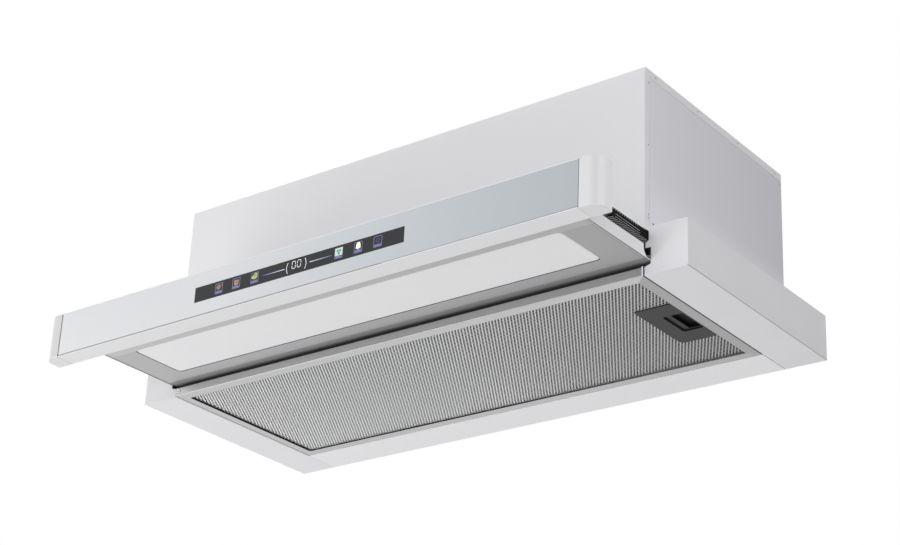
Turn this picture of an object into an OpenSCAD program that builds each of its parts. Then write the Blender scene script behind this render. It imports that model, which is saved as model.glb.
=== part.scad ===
// Pull out range hood for a wall cabinet, drawn with its visor pulled out.
// X runs along the width, +Y points to the wall, +Z up. The origin is on the
// underside, midway between the visor's front and the wall. Millimetres.

/* [Overall] */
// Width over the base and the visor
hood_w = 598; // [560:1:900]
// Depth of the body, from the front of the base to the wall
body_d = 231; // [228:1:260]
// Height from the underside to the top panel
hood_h = 191.4; // [186:0.2:230]
// Height of the low base
base_h = 42; // [41:0.5:50]
// Width of each side block of the base
block_w = 40.25; // [34:0.25:60]
// Step from the inner edge of a side block out to the box wall
box_step = 0.45; // [0.2:0.05:2]
// How far the box front stands proud of the base front
box_proud = 1; // [0.5:0.1:1]
// Thickness of the painted sheet
sheet_t = 1; // [0.8:0.05:1.2]
// Depth of the flanges that show along the box seams
seam_flange = 7.5; // [6:0.5:12]
// Width of the hidden flanges that carry the screws
foot_w = 13; // [8:0.5:16]
// Gap at a seam between two sheets
seam = 0.3; // [0.1:0.1:0.5]
// Clearance around pieces that slide or swing
fit = 0.3; // [0.2:0.05:0.5]

/* [Base] */
// Height of the lip that stands up round the filter bay
lip_h = 7.8; // [6:0.1:9]
// Depth of the strip behind the filter
strip_d = 38.9; // [30:0.1:50]
// Width of the top plate that reaches in under the box
shelf_w = 15; // [14:0.5:30]
// Step of the front edge beside the slides
tongue = 0.75; // [0.4:0.05:1.5]
// Height of the ramp at the foot of the front cut-out
notch_ramp = 1.6; // [1:0.1:3]

/* [Slides] */
// Travel of the visor
visor_travel = 107; // [80:1:120]
// Height of the middle member of a slide
mid_h = 7.6; // [7:0.1:9]
// Depth of the middle member's channel
slide_depth = 5.5; // [4.5:0.1:7]
// Thickness of the slide steel
slide_t = 1; // [0.8:0.1:1.2]
// Room for the glides between two members
slide_gap = 1.2; // [1:0.1:1.5]
// Side room between two members
side_gap = 0.8; // [0.5:0.1:1.2]
// How far the middle member stands out past the bay's edge
slide_reach = 3.55; // [3:0.05:5]
// Space over the slide
slide_drop = 0.6; // [0.3:0.1:1]
// Length of the fixed member
outer_len = 188; // [170:1:196]
// Length of the middle member
mid_len = 182; // [165:1:186]
// Length of the inner member
inner_len = 165; // [150:1:180]
// Length of a nylon glide
glide_len = 12; // [8:1:16]
// Play between a glide and the member that it slides on
glide_fit = 0.2; // [0.1:0.05:0.3]
// Thickness of the inner member
inner_t = 0.8; // [0.6:0.1:1]
// Depth of the rolled grooves in the middle member
race_r = 0.35; // [0.2:0.05:0.4]

/* [Visor] */
// Thickness of the visor panel, front to back
visor_t = 19.5; // [18:0.5:26]
// Height of the visor panel
visor_h = 42; // [40:0.5:48]
// Underside of the visor panel over the underside of the base
visor_z = 0.2; // [0:0.1:1]
// Distance from the base at which the closed visor stops
visor_stop = 1.5; // [1.2:0.1:3]
// Width of an end cap
cap_w = 17.2; // [14:0.2:30]
// Radius of the end cap's front corner
cap_r = 11; // [6:0.5:14]
// Wall of the end caps and of the front profile
cap_wall = 1.8; // [1.4:0.1:2.5]
// Gap between the end caps and the glass
cap_gap = 0.3; // [0.2:0.1:0.6]
// Thickness of the glass
glass_t = 4; // [3:0.5:5]
// Lip of the profile over and under the glass
glass_lip = 0.9; // [0.6:0.1:1.5]
// Wall of the front profile
profile_wall = 1.4; // [1.2:0.1:2]
// Width of the display window
display_w = 229; // [150:1:300]
// Height of the display window
display_h = 14.2; // [10:0.2:20]
// Height of the window's middle over the visor's underside
display_z = 21.1; // [18:0.1:24]
// Offset of the window to the right
display_x = 1; // [-20:1:20]
// Margin of the touch board round the window
board_margin = 4; // [2:0.5:6]
// Thickness of a circuit board
board_t = 1.6; // [1:0.1:2]
// Radius of a rubber bumper
bumper_r = 4; // [3:0.5:6]

/* [Light tray] */
// Underside of the tray over the underside of the base
tray_z = 12.3; // [11:0.1:13]
// Height of the tray's outer wall
tray_wall_h = 11.1; // [9:0.1:11.5]
// How far the tray reaches out past the bay's edge
tray_reach = 5.45; // [4:0.05:8]
// How far the tray's side walls end in front of the base
tray_back = 9.5; // [2:0.5:14]
// How far the tray's floor reaches into the base over the filter
tray_in = 12; // [8:0.5:20]
// Radius of the tray's rear bend
tray_r = 5; // [3:0.5:8]
// Radius of the curve at the rear of the tray's side walls
tray_curve = 9; // [4:0.5:10]
// Width of the diffuser
diffuser_w = 465; // [300:1:480]
// Depth of the diffuser
diffuser_d = 57.5; // [40:0.5:65]
// Strip of tray between the visor panel and the diffuser
diffuser_y = 28.5; // [20:0.5:34]
// Corner radius of the diffuser
diffuser_r = 4.5; // [2:0.5:8]
// Rim of the diffuser that rests on the tray
diffuser_rim = 3; // [2:0.5:5]
// Thickness of that rim
rim_t = 1.5; // [1:0.1:2]
// Number of lamps in each row on the lamp board
lamps = 12; // [6:1:20]
// Side of one lamp
lamp_w = 3; // [2:0.5:4]

/* [Filter] */
// Underside of the filter over the underside of the base
filter_z = 0.3; // [0.3:0.1:1]
// Thickness of the filter frame
filter_t = 8; // [7.6:0.1:9]
// Width of the frame's border
filter_border = 10.8; // [9:0.2:16]
// Gap between the filter and the bay on each side
filter_gap = 0.8; // [0.5:0.05:1]
// How far the filter's front stands proud of the base
filter_proud = 0.7; // [0:0.1:1]
// Thickness of the frame's sheet
frame_t = 0.8; // [0.6:0.1:1]
// Outer bend radius of the frame, round the hinge axis on the left
frame_bend = 1; // [0.9:0.1:1.2]
// Width of the frame's hidden upper flange
frame_top = 7; // [5:0.5:9]
// Thickness of the perforated sheets
mesh_t = 0.6; // [0.5:0.1:0.8]
// Distance of the outer sheet above the frame's underside
mesh_rise = 1.2; // [1:0.1:1.6]
// Pitch of the folded inner mesh
fold_pitch = 16; // [10:1:24]
// Width of a hinge tab
tab_w = 16; // [10:1:24]
// Length of a hinge tab
tab_len = 3; // [2.5:0.1:3.5]
// Distance of the hinge tabs from the middle of the filter
tab_y = 60; // [40:1:75]

/* [Latch] */
// Width of the latch plate
latch_w = 36; // [30:0.5:44]
// Length of the latch plate
latch_l = 75.5; // [60:0.5:90]
// Radius of the latch plate's rear corner
latch_r = 5; // [4:0.5:10]
// Radius of the latch plate's front corner
latch_front_r = 1.5; // [1:0.5:4]
// Thickness of the latch plate
latch_t = 1.4; // [1.2:0.1:1.8]
// Height of the plate's face over the frame's underside
latch_rise = 0.2; // [0.1:0.05:0.4]
// Offset of the plate from the middle of the filter
latch_off = 1.5; // [-10:0.5:10]
// Width of the window in the plate
grip_w = 19.5; // [16:0.5:22]
// Length of the window in the plate
grip_l = 35; // [26:0.5:40]
// Corner radius of the window
grip_r = 2.5; // [1:0.5:4]
// Width of the finger bar that stands in the window
finger_w = 4.8; // [3:0.2:6]
// Slot beside and behind the finger bar
finger_slot = 1.2; // [0.8:0.1:2]
// Plate left between the window and the frame
grip_edge = 1.6; // [1.2:0.1:3]
// Travel of the latch slider
latch_travel = 4.5; // [3:0.5:5]
// Length of the slider past each end of the window
slider_over = 5; // [3:0.5:8]
// Width of the latch bolt
bolt_w = 20; // [12:1:26]
// Thickness of the latch bolt
bolt_t = 2.4; // [2:0.1:3]

/* [Blower] */
// Radius of the impeller
wheel_r = 52; // [48:0.5:54]
// Half the width of the impeller
wheel_hw = 41; // [30:1:44]
// Radial depth of the blades
blade_d = 9; // [7:0.5:11]
// Thickness of a blade
blade_t = 0.9; // [0.7:0.1:1.2]
// Number of blades
blades = 36; // [24:1:42]
// Angle by which a blade leans forward
blade_lean = 13; // [8:1:16]
// Curve of the blades, where 1 is straight
blade_curve = 1.7; // [1.2:0.1:2.2]
// How far the blades stay inside the wheel's rim
blade_inset = 0.5; // [0.3:0.1:1]
// Thickness of the wheel's disc and end rings
disc_t = 2; // [1.5:0.1:3]
// Width of the impeller's end rings
ring_w = 5; // [4:0.5:7]
// Radius of the impeller's hub
hub_r = 9; // [7:0.5:12]
// Radius of the shaft
shaft_r = 4; // [3:0.25:5]
// Gap between the impeller and the tongue of the scroll
tongue_gap = 4; // [3:0.5:5]
// Growth of the scroll's radius over a full turn
scroll_growth = 39.5; // [30:0.5:42]
// Angle of the tongue above the rear horizontal
tongue_a = 75; // [65:1:80]
// Wall of the scroll
scroll_wall = 2; // [1.5:0.1:2.5]
// Gap between the impeller and the scroll's side plates
wheel_gap = 7; // [5:0.5:10]
// Radius of the air inlets
inlet_r = 44; // [40:0.5:46]
// Height of the fan's axis over the underside
fan_z = 124; // [122:0.5:126]
// Distance of the fan's axis in front of the wall
fan_back = 81; // [78:0.5:86]
// Radius of the motor
motor_r = 35; // [28:0.5:37]
// Length of the motor
motor_len = 60; // [45:1:70]
// Width of the motor bracket's ring and arms
arm_w = 10; // [6:0.5:14]

/* [Duct] */
// Outer radius of the duct collar
duct_r = 60; // [58:0.5:62]
// Wall of the collar
duct_wall = 2; // [1.5:0.1:2.5]
// Height of the collar over the top panel
duct_h = 36; // [28:1:38]
// Side of the collar's square flange
duct_flange = 140; // [134:1:150]
// Height of the flap hinges over the top panel
flap_rise = 9; // [8:0.5:12]
// Distance of a flap's hinge from the middle of the duct
flap_off = 5; // [4.5:0.1:6]
// Radius of a flap's barrel
barrel_r = 2.2; // [2:0.1:2.4]
// Radius of a flap's pin
pin_r = 1.2; // [1:0.1:1.5]
// Running clearance of the flap pins and of the shaft
run_fit = 0.08; // [0.05:0.01:0.1]
// Thickness of the collar's flange and stop ring
flange_t = 1.6; // [1.2:0.1:2.4]
// Thickness of a flap
flap_t = 1.2; // [0.8:0.1:2]
// Radius of a collar screw
screw_r = 1.6; // [1.2:0.1:2.2]
// Radius of a collar screw's head
screw_head_r = 3.2; // [2.4:0.1:4]

/* [Fixings and electrics] */
// Distance of the cabinet screw holes from the sides of the box
mount_side = 39.2; // [34:0.2:60]
// Distance of the cabinet screw holes from the front and rear of the box
mount_edge = 31; // [27:0.5:36]
// Radius of a cabinet screw hole
mount_r = 2.75; // [2:0.25:3.5]
// Width of the control box
ctrl_w = 90; // [80:1:120]
// Depth of the control box
ctrl_d = 64; // [50:1:80]
// Height of the control box
ctrl_h = 36; // [28:1:44]
// Wall of the plastic boxes
ctrl_wall = 2; // [1.5:0.1:2.5]
// Width of the lamp driver
driver_w = 72; // [60:1:90]
// Depth of the lamp driver
driver_d = 32; // [26:1:40]
// Height of the lamp driver
driver_h = 21.6; // [18:0.2:28]
// Radius of the cable gland's body
gland_r = 8; // [6:0.5:10]
// Radius of the cable passage in the gland
cable_r = 3.6; // [3:0.1:4.5]
// Radius of the gland's nut over its corners
nut_r = 10.8; // [9:0.2:13]

/* [Hidden] */

$fn = 48;
small_fn = 24;                             // facets of small round forms
round_fn = 96;                             // facets of the duct
volute_steps = 20;                         // points along the scroll's spiral
blade_steps = 4;                           // points along a blade
cut = 1;                                   // overshoot of cutting bodies
steel = [0.16, 0.16, 0.17];
paint = [0.86, 0.86, 0.87];
zinc = [0.70, 0.71, 0.73];
plastic = [0.20, 0.21, 0.22];

// Front to back
total_d = body_d + visor_travel + visor_stop + visor_t;
rear_y = total_d / 2;
base_y = rear_y - body_d;
box_y = base_y - box_proud;
strip_y = rear_y - strip_d;
visor_back = base_y - visor_stop - visor_travel;
visor_front = visor_back - visor_t;

// Across
hw = hood_w / 2;
bay = hw - block_w;
bx = bay + box_step;
mid_x = bay + slide_reach;
outer_x = mid_x + side_gap + slide_t;
inner_x = mid_x - slide_depth - side_gap - slide_gap / 2;
web_x = inner_x - slide_t;
tray_hw = bay + tray_reach;

// Heights
outer_h = mid_h + 2 * (slide_gap + slide_t);
slide_z = base_h - sheet_t - slide_drop - outer_h / 2;
mid_lo = slide_z - mid_h / 2;
mid_hi = slide_z + mid_h / 2;
inner_h = mid_h - 2 * (slide_gap - glide_fit + slide_t);
tray_top = tray_z + tray_wall_h;
duct_z = hood_h - sheet_t;

// ---------- helpers ----------

// Box from its lowest corner to its highest corner
module slab(low, high) {
    translate(low)
        cube(high - low);
}

// Outline in Y and Z, extruded along X
module along_x(x0, x1) {
    translate([x0, 0, 0])
        rotate([90, 0, 90])
            linear_extrude(x1 - x0)
                children();
}

// Outline in X and Z, extruded along Y
module along_y(y0, y1) {
    translate([0, y1, 0])
        rotate([90, 0, 0])
            linear_extrude(y1 - y0)
                children();
}

// The same piece on the left
module left() {
    mirror([1, 0, 0])
        children();
}

// The same pieces on both sides
module both() {
    children();
    left()
        children();
}

// Rectangle with round corners, between two opposite corners
module round_rect(low, high, r) {
    translate([low[0] + r, low[1]])
        square([high[0] - low[0] - 2 * r, high[1] - low[1]]);
    translate([low[0], low[1] + r])
        square([high[0] - low[0], high[1] - low[1] - 2 * r]);
    for (x = [low[0] + r, high[0] - r], y = [low[1] + r, high[1] - r])
        translate([x, y])
            circle(r);
}

// Rectangle between two opposite corners
module rect(low, high) {
    translate(low)
        square(high - low);
}

// ---------- upper box ----------

module box_front() color(paint)
    union() {
        slab([-bx, box_y, base_h], [bx, box_y + sheet_t, hood_h]);
        both()
            slab([bx - sheet_t, box_y, base_h], [bx, box_y + seam_flange, hood_h]);
        slab([-bx + foot_w, box_y, base_h], [bx - foot_w, box_y + foot_w, base_h + sheet_t]);
    }

module box_side() {
    lap_y = box_y + sheet_t + seam;
    seam_y = box_y + seam_flange + seam;
    seam_z = hood_h - seam_flange - seam;
    slab([bx - sheet_t, seam_y, base_h], [bx, rear_y, seam_z]);
    slab([bx - 2 * sheet_t, lap_y, base_h + seam_flange], [bx - sheet_t, seam_y + foot_w / 2, seam_z]);
    slab([bx - 2 * sheet_t, seam_y, seam_z - foot_w / 2],
        [bx - sheet_t, rear_y - foot_w - seam, duct_z - seam]);
    slab([bx - foot_w, seam_y + foot_w, base_h], [bx - sheet_t, rear_y - foot_w, base_h + sheet_t]);
}

module box_side_left() color(paint)
    left()
        box_side();

module box_side_right() color(paint)
    box_side();

module box_rear() color(paint)
    union() {
        slab([sheet_t - bx, rear_y - sheet_t, base_h], [bx - sheet_t, rear_y, hood_h]);
        both()
            slab([bx - 2 * sheet_t, rear_y - foot_w, base_h + sheet_t],
                [bx - sheet_t, rear_y, duct_z - seam]);
    }

mount_mid_y = (box_y + rear_y) / 2;
mount_y = mount_mid_y - box_y - mount_edge;
ctrl_x = seam_flange + foot_w - bx;
ctrl_y = rear_y - sheet_t - foot_w - ctrl_d;

module box_top() color(paint)
    difference() {
        union() {
            slab([-bx, box_y + seam_flange + seam, duct_z], [bx, rear_y - sheet_t, hood_h]);
            slab([sheet_t + seam - bx, box_y + sheet_t, duct_z],
                [bx - sheet_t - seam, box_y + foot_w, hood_h]);
            both()
                slab([bx - sheet_t, box_y + seam_flange + seam, hood_h - seam_flange],
                    [bx, rear_y, hood_h]);
        }
        translate([0, duct_y, duct_z - cut])
            cylinder(r = duct_r - duct_wall, h = sheet_t + 2 * cut);
        for (x = [-1, 1], y = [-1, 1])
            translate([x * (bx - mount_side), mount_mid_y + y * mount_y, duct_z - cut])
                cylinder(r = mount_r, h = sheet_t + 2 * cut);
        collar_screw_places()
            translate([0, 0, duct_z - cut])
                cylinder(r = screw_r + run_fit, h = sheet_t + 2 * cut);
        gland_place()
            translate([0, 0, duct_z - cut])
                cylinder(r = gland_r + run_fit, h = sheet_t + 2 * cut);
    }

// ---------- base ----------

// Front face of a side block, cut out round the slide and the tray
module block_front() {
    polygon([
        [hw, 0],
        [hw, base_h],
        [bay, base_h],
        [bay + tongue, mid_hi + 2 * notch_ramp],
        [mid_x + fit, mid_hi + fit],
        [mid_x + fit, mid_lo - fit],
        [bay + tongue, mid_lo - notch_ramp],
        [bay + tongue, tray_top + 2 * fit],
        [tray_hw + 2 * fit, tray_top + 2 * fit],
        [tray_hw + fit, lip_h + notch_ramp],
        [bay, lip_h],
        [bay, 0]
    ]);
}

module base_side() {
    along_y(base_y, base_y + sheet_t)
        block_front();
    slab([bay, base_y, 0], [hw, rear_y, sheet_t]);
    slab([hw - sheet_t, base_y, 0], [hw, rear_y, base_h]);
    slab([bay - shelf_w, base_y, base_h - sheet_t], [hw, rear_y, base_h]);
    slab([bay, rear_y - sheet_t, 0], [hw, rear_y, base_h]);
    slab([bay, base_y, 0], [bay + sheet_t, strip_y, lip_h]);
}

// The left block's lip has a slot for each hinge tab of the filter
module base_side_left() color(paint)
    difference() {
        left()
            base_side();
        for (y = [-1, 1])
            translate([0, filter_mid_y + y * tab_y, 0])
                slab([-bay - sheet_t - cut, -tab_w / 2 - 2 * fit, tab_z - fit],
                    [cut - bay, tab_w / 2 + 2 * fit, lip_h + cut]);
    }

module base_side_right() color(paint)
    base_side();

module base_rear() color(paint)
    union() {
        edge = bay - seam;
        slab([-edge, strip_y, 0], [edge, rear_y, sheet_t]);
        slab([-edge, strip_y, 0], [edge, strip_y + sheet_t, lip_h]);
        slab([-edge, rear_y - sheet_t, 0], [edge, rear_y, base_h - sheet_t - seam]);
        slab([shelf_w + foot_w - edge, rear_y - foot_w, base_h - sheet_t],
            [edge - shelf_w - foot_w, rear_y, base_h]);
        slab([shelf_w + foot_w - edge, rear_y - sheet_t, base_h - 2 * sheet_t],
            [edge - shelf_w - foot_w, rear_y, base_h]);
    }

// ---------- slides ----------

slide_y = base_y + sheet_t + seam;
mid_y = slide_y + seam - visor_travel / 2;
inner_y = visor_back + sheet_t;
outer_lo = slide_z - outer_h / 2;
outer_hi = slide_z + outer_h / 2;

// Channel in X and Z; open = -1 opens towards -X, open = 1 towards +X
module channel(low, high, t, open) {
    difference() {
        rect(low, high);
        translate([open * t, 0])
            rect([low[0], low[1] + t], [high[0], high[1] - t]);
    }
}

// Rolled groove along the outside of a channel's web
module race(x, y0, y1) {
    for (z = [-1, 1])
        translate([x, 0, slide_z + z * mid_h / 5])
            rotate([-90, 0, 0])
                translate([0, 0, y0 - cut])
                    cylinder(r = race_r, h = y1 - y0 + 2 * cut, $fn = small_fn);
}

module slide_outer() {
    along_y(slide_y, slide_y + outer_len)
        channel([mid_x - slide_depth + side_gap, outer_lo], [outer_x, outer_hi], slide_t, -1);
}

module slide_mid() {
    difference() {
        along_y(mid_y, mid_y + mid_len)
            channel([mid_x - slide_depth, mid_lo], [mid_x, mid_hi], slide_t, -1);
        race(mid_x, mid_y, mid_y + mid_len);
    }
}

module slide_inner() {
    along_y(inner_y, inner_y + inner_len)
        channel([inner_x, slide_z - inner_h / 2],
            [mid_x - slide_t - side_gap / 2, slide_z + inner_h / 2], inner_t, 1);
}

// The fixed member hangs on an angle under the base's top plate
module slide_bracket() {
    y0 = slide_y + foot_w;
    y1 = slide_y + outer_len - foot_w;
    slab([outer_x, y0, outer_lo], [outer_x + sheet_t, y1, base_h - sheet_t]);
    slab([outer_x, y0, base_h - 2 * sheet_t], [outer_x + foot_w, y1, base_h - sheet_t]);
}

module slide_outer_left() color(steel)
    left()
        slide_outer();

module slide_outer_right() color(steel)
    slide_outer();

module slide_mid_left() color(steel)
    left()
        slide_mid();

module slide_mid_right() color(steel)
    slide_mid();

module slide_inner_left() color(steel)
    left()
        slide_inner();

module slide_inner_right() color(steel)
    slide_inner();

module slide_bracket_left() color(zinc)
    left()
        slide_bracket();

module slide_bracket_right() color(zinc)
    slide_bracket();

// A pair of glides above and below a member, z_near from the slide's middle
module glide_pair(x0, x1, y0, z_near, z_far) {
    for (s = [-1, 1])
        translate([0, 0, slide_z])
            slab([x0, y0, min(s * z_near, s * z_far)],
                [x1, y0 + glide_len, max(s * z_near, s * z_far)]);
}

glide_x0 = mid_x - slide_depth + side_gap + fit;
glide_x1 = mid_x - slide_t;

module glides_fixed() color("ivory")
    both()
        glide_pair(glide_x0, glide_x1, slide_y + 2 * fit, mid_h / 2 + glide_fit,
            mid_h / 2 + slide_gap);

module glides_mid() color("ivory")
    both() {
        glide_pair(glide_x0, glide_x1, mid_y + mid_len - glide_len, mid_h / 2,
            mid_h / 2 + slide_gap - glide_fit);
        glide_pair(glide_x0, mid_x - slide_t, mid_y, inner_h / 2 + glide_fit,
            mid_h / 2 - slide_t);
    }

module glides_inner() color("ivory")
    both()
        glide_pair(glide_x0, mid_x - slide_t - side_gap / 2,
            inner_y + inner_len - glide_len, inner_h / 2, mid_h / 2 - slide_t - glide_fit);

// ---------- visor ----------

glass_hw = hw - cap_w - cap_gap;
visor_top = visor_z + visor_h;
glass_back = visor_front + glass_t;
window_z = visor_z + display_z;

// Hollow front profile behind the glass
module front_profile() color(paint)
    difference() {
        along_x(-glass_hw, glass_hw)
            difference() {
                rect([visor_front, visor_z], [visor_back, visor_top]);
                rect([visor_front - cut, visor_z + glass_lip], [glass_back, visor_top - glass_lip]);
                rect([glass_back + profile_wall, visor_z + profile_wall],
                    [visor_back - profile_wall, visor_top - profile_wall]);
            }
        slab([display_x - display_w / 2 - board_margin - fit, glass_back - cut,
            window_z - display_h / 2 - board_margin - fit],
            [display_x + display_w / 2 + board_margin + fit, glass_back + profile_wall + cut,
            window_z + display_h / 2 + board_margin + fit]);
    }

module glass_fascia() color([0.80, 0.84, 0.87])
    difference() {
        slab([-glass_hw, visor_front, visor_z + glass_lip],
            [glass_hw, glass_back, visor_top - glass_lip]);
        slab([display_x - display_w / 2, visor_front - cut, window_z - display_h / 2],
            [display_x + display_w / 2, glass_back + cut, window_z + display_h / 2]);
    }

module display_window() color([0.14, 0.15, 0.17])
    slab([display_x - display_w / 2, visor_front, window_z - display_h / 2],
        [display_x + display_w / 2, glass_back, window_z + display_h / 2]);

module touch_board() color("darkgreen")
    slab([display_x - display_w / 2 - board_margin, glass_back,
        window_z - display_h / 2 - board_margin],
        [display_x + display_w / 2 + board_margin, glass_back + board_t,
        window_z + display_h / 2 + board_margin]);

// Plan of an end cap, drawn in by the given wall
module cap_plan(wall) {
    low = [hw - cap_w, visor_front + wall];
    high = [hw - wall, visor_back - wall];
    intersection() {
        rect(low, high);
        union() {
            rect(low, [hw - cap_r, high[1]]);
            rect([low[0], visor_front + cap_r], high);
            translate([hw - cap_r, visor_front + cap_r])
                circle(cap_r - wall);
        }
    }
}

// Moulded shell, open towards the profile, with two ribs that plug into it
module end_cap() {
    difference() {
        translate([0, 0, visor_z])
            linear_extrude(visor_h)
                cap_plan(0);
        translate([-cut, 0, visor_z + cap_wall])
            linear_extrude(visor_h - 2 * cap_wall)
                union() {
                    cap_plan(cap_wall);
                    translate([cut, 0])
                        cap_plan(cap_wall);
                }
    }
    for (z = [-1, 1])
        translate([0, 0, visor_z + visor_h / 2 + z * visor_h / 4])
            slab([hw - 2 * cap_w, glass_back + profile_wall + fit, -cap_wall / 2],
                [hw - cap_wall / 2, visor_back - profile_wall - fit, cap_wall / 2]);
}

module end_cap_left() color("white")
    left()
        end_cap();

module end_cap_right() color("white")
    end_cap();

module bumpers() color("dimgray")
    both()
        for (z = [-1, 1])
            translate([hw - cap_w / 2, visor_back, visor_z + visor_h / 2 + z * visor_h / 4])
                rotate([-90, 0, 0])
                    cylinder(r = bumper_r, h = visor_stop - fit);

// ---------- light tray ----------

tray_y = base_y + tray_in;
tray_wall_y = base_y - tray_back;
web_top = slide_z + mid_h / 2 - slide_t;
diffuser_y0 = visor_back + diffuser_y;

// Side view of the tray, with the bend that rises at the rear
module tray_side_view(inset) {
    r = tray_r - inset;
    rect([visor_back, tray_z + inset], [tray_y - tray_r, web_top]);
    rect([visor_back, tray_z + tray_r], [tray_y - inset, web_top]);
    translate([tray_y - tray_r, tray_z + tray_r])
        circle(r);
}

// Folded edge: outer wall with a curved rear, return flange, and the web that
// carries the slide
module tray_edge() {
    along_x(tray_hw - sheet_t, tray_hw)
        union() {
            rect([visor_back, tray_z], [tray_wall_y, tray_top]);
            difference() {
                rect([tray_wall_y - sheet_t, tray_z],
                    [tray_wall_y + tray_curve, tray_z + tray_curve]);
                translate([tray_wall_y + tray_curve, tray_z + tray_curve])
                    circle(tray_curve);
            }
        }
    along_y(visor_back, tray_wall_y)
        union() {
            rect([web_x, tray_top - sheet_t], [tray_hw, tray_top]);
            rect([web_x, tray_top - sheet_t], [inner_x, web_top]);
        }
}

module light_tray() color([0.72, 0.72, 0.73])
    difference() {
        union() {
            both()
                tray_edge();
            along_x(-tray_hw, tray_hw)
                intersection() {
                    difference() {
                        tray_side_view(0);
                        tray_side_view(sheet_t);
                    }
                    rect([visor_back, tray_z], [tray_y, tray_top]);
                }
            slab([-inner_x, visor_back, tray_z], [inner_x, visor_back + sheet_t, web_top]);
        }
        translate([0, 0, tray_z - cut])
            linear_extrude(sheet_t + cut + fit)
                round_rect([-diffuser_w / 2 - seam, diffuser_y0 - seam],
                    [diffuser_w / 2 + seam, diffuser_y0 + diffuser_d + seam], diffuser_r + seam);
    }

module tray_lid() color(zinc)
    slab([fit - web_x, visor_back + sheet_t + fit, tray_top - sheet_t],
        [web_x - fit, tray_y - sheet_t - fit, tray_top]);

module diffuser() color("white")
    union() {
        translate([0, 0, tray_z])
            linear_extrude(sheet_t)
                round_rect([-diffuser_w / 2, diffuser_y0],
                    [diffuser_w / 2, diffuser_y0 + diffuser_d], diffuser_r);
        slab([-diffuser_w / 2 - diffuser_rim, diffuser_y0 - diffuser_rim, tray_z + sheet_t],
            [diffuser_w / 2 + diffuser_rim, diffuser_y0 + diffuser_d + diffuser_rim,
            tray_z + sheet_t + rim_t]);
    }

lamp_board_z = tray_top - sheet_t - board_t;

module lamp_board() color("seagreen")
    union() {
        slab([-diffuser_w / 2, diffuser_y0, lamp_board_z],
            [diffuser_w / 2, diffuser_y0 + diffuser_d, lamp_board_z + board_t]);
        for (i = [0 : lamps - 1], row = [1, 3])
            translate([(i + 0.5 - lamps / 2) * diffuser_w / lamps,
                diffuser_y0 + row * diffuser_d / 4, lamp_board_z])
                slab([-lamp_w / 2, -lamp_w / 2, -lamp_w / 3], [lamp_w / 2, lamp_w / 2, 0]);
    }

// ---------- filter ----------

filter_hw = bay - filter_gap;
filter_y0 = base_y - filter_proud;
filter_y1 = strip_y - fit;
filter_mid_y = (filter_y0 + filter_y1) / 2;
filter_len = filter_y1 - filter_y0;
filter_top = filter_z + filter_t;
tab_z = filter_z + frame_bend + frame_t;

// Section of the frame: u from the outer edge inwards, v upwards
module frame_section() {
    rect([0, frame_bend], [frame_t, filter_t]);
    rect([frame_bend, 0], [filter_border, frame_t]);
    rect([0, filter_t - frame_t], [frame_top, filter_t]);
    difference() {
        translate([frame_bend, frame_bend])
            circle(frame_bend, $fn = small_fn);
        rect([frame_t, frame_t], [3 * frame_bend, 3 * frame_bend]);
    }
}

// A frame bar along X from -half to half, mitred at both ends
module frame_bar(half) {
    intersection() {
        translate([-half, 0, 0])
            rotate([90, 0, 90])
                linear_extrude(2 * half)
                    frame_section();
        translate([0, 0, -cut])
            linear_extrude(filter_t + 2 * cut)
                polygon([[-half, 0], [half, 0], [half - filter_border, filter_border],
                    [filter_border - half, filter_border]]);
    }
}

module filter_frame_front() color(zinc)
    translate([0, filter_y0, filter_z])
        frame_bar(filter_hw);

module filter_frame_rear() color(zinc)
    translate([0, filter_y1, filter_z])
        mirror([0, 1, 0])
            frame_bar(filter_hw);

module filter_frame_left() color(zinc)
    union() {
        translate([-filter_hw, filter_mid_y, filter_z])
            rotate([0, 0, -90])
                frame_bar(filter_len / 2);
        for (y = [-1, 1])
            translate([0, filter_mid_y + y * tab_y, 0])
                slab([-filter_hw - tab_len, -tab_w / 2, tab_z],
                    [frame_t - filter_hw, tab_w / 2, tab_z + frame_t]);
    }

latch_y = filter_mid_y + latch_off;
latch_x1 = filter_hw - filter_border;
latch_x0 = latch_x1 - latch_w;
latch_z = filter_z + latch_rise;
slider_z = latch_z + latch_t + fit;
bolt_z = slider_z + frame_t;

module filter_frame_right() color(zinc)
    difference() {
        translate([filter_hw, filter_mid_y, filter_z])
            rotate([0, 0, 90])
                frame_bar(filter_len / 2);
        slab([filter_hw - frame_t - cut, latch_y - bolt_w / 2 - fit, bolt_z - fit],
            [filter_hw + cut, latch_y + bolt_w / 2 + fit, bolt_z + bolt_t + fit]);
    }

mesh_hw = filter_hw - frame_t - seam;
mesh_y0 = filter_y0 + frame_t + seam;
mesh_y1 = filter_y1 - frame_t - seam;

// Plan of the latch plate grown by the gap, open to the right
module latch_plan(gap) {
    x1 = latch_x1 + filter_border + latch_r;
    round_rect([latch_x0 - gap, latch_y], [x1, latch_y + latch_l / 2 + gap], latch_r + gap);
    round_rect([latch_x0 - gap, latch_y - latch_l / 2 - gap], [x1, latch_y + 2 * latch_r],
        latch_front_r + gap);
}

module filter_mesh_outer() color([0.62, 0.62, 0.62])
    difference() {
        slab([-mesh_hw, mesh_y0, filter_z + mesh_rise],
            [mesh_hw, mesh_y1, filter_z + mesh_rise + mesh_t]);
        translate([0, 0, filter_z])
            linear_extrude(filter_t)
                latch_plan(seam);
    }

// Inner mesh, folded in flat waves that give the grease more surface
fold_z0 = filter_z + mesh_rise + mesh_t + seam;
fold_z1 = filter_top - frame_t - seam - mesh_t;
folds = round(mesh_hw / fold_pitch);
fold_w = mesh_hw / folds;

function fold_point(i, lift) =
    [(i / 2 - folds) * fold_w, (i % 2 == 0 ? fold_z0 : fold_z1) + lift];

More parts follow.
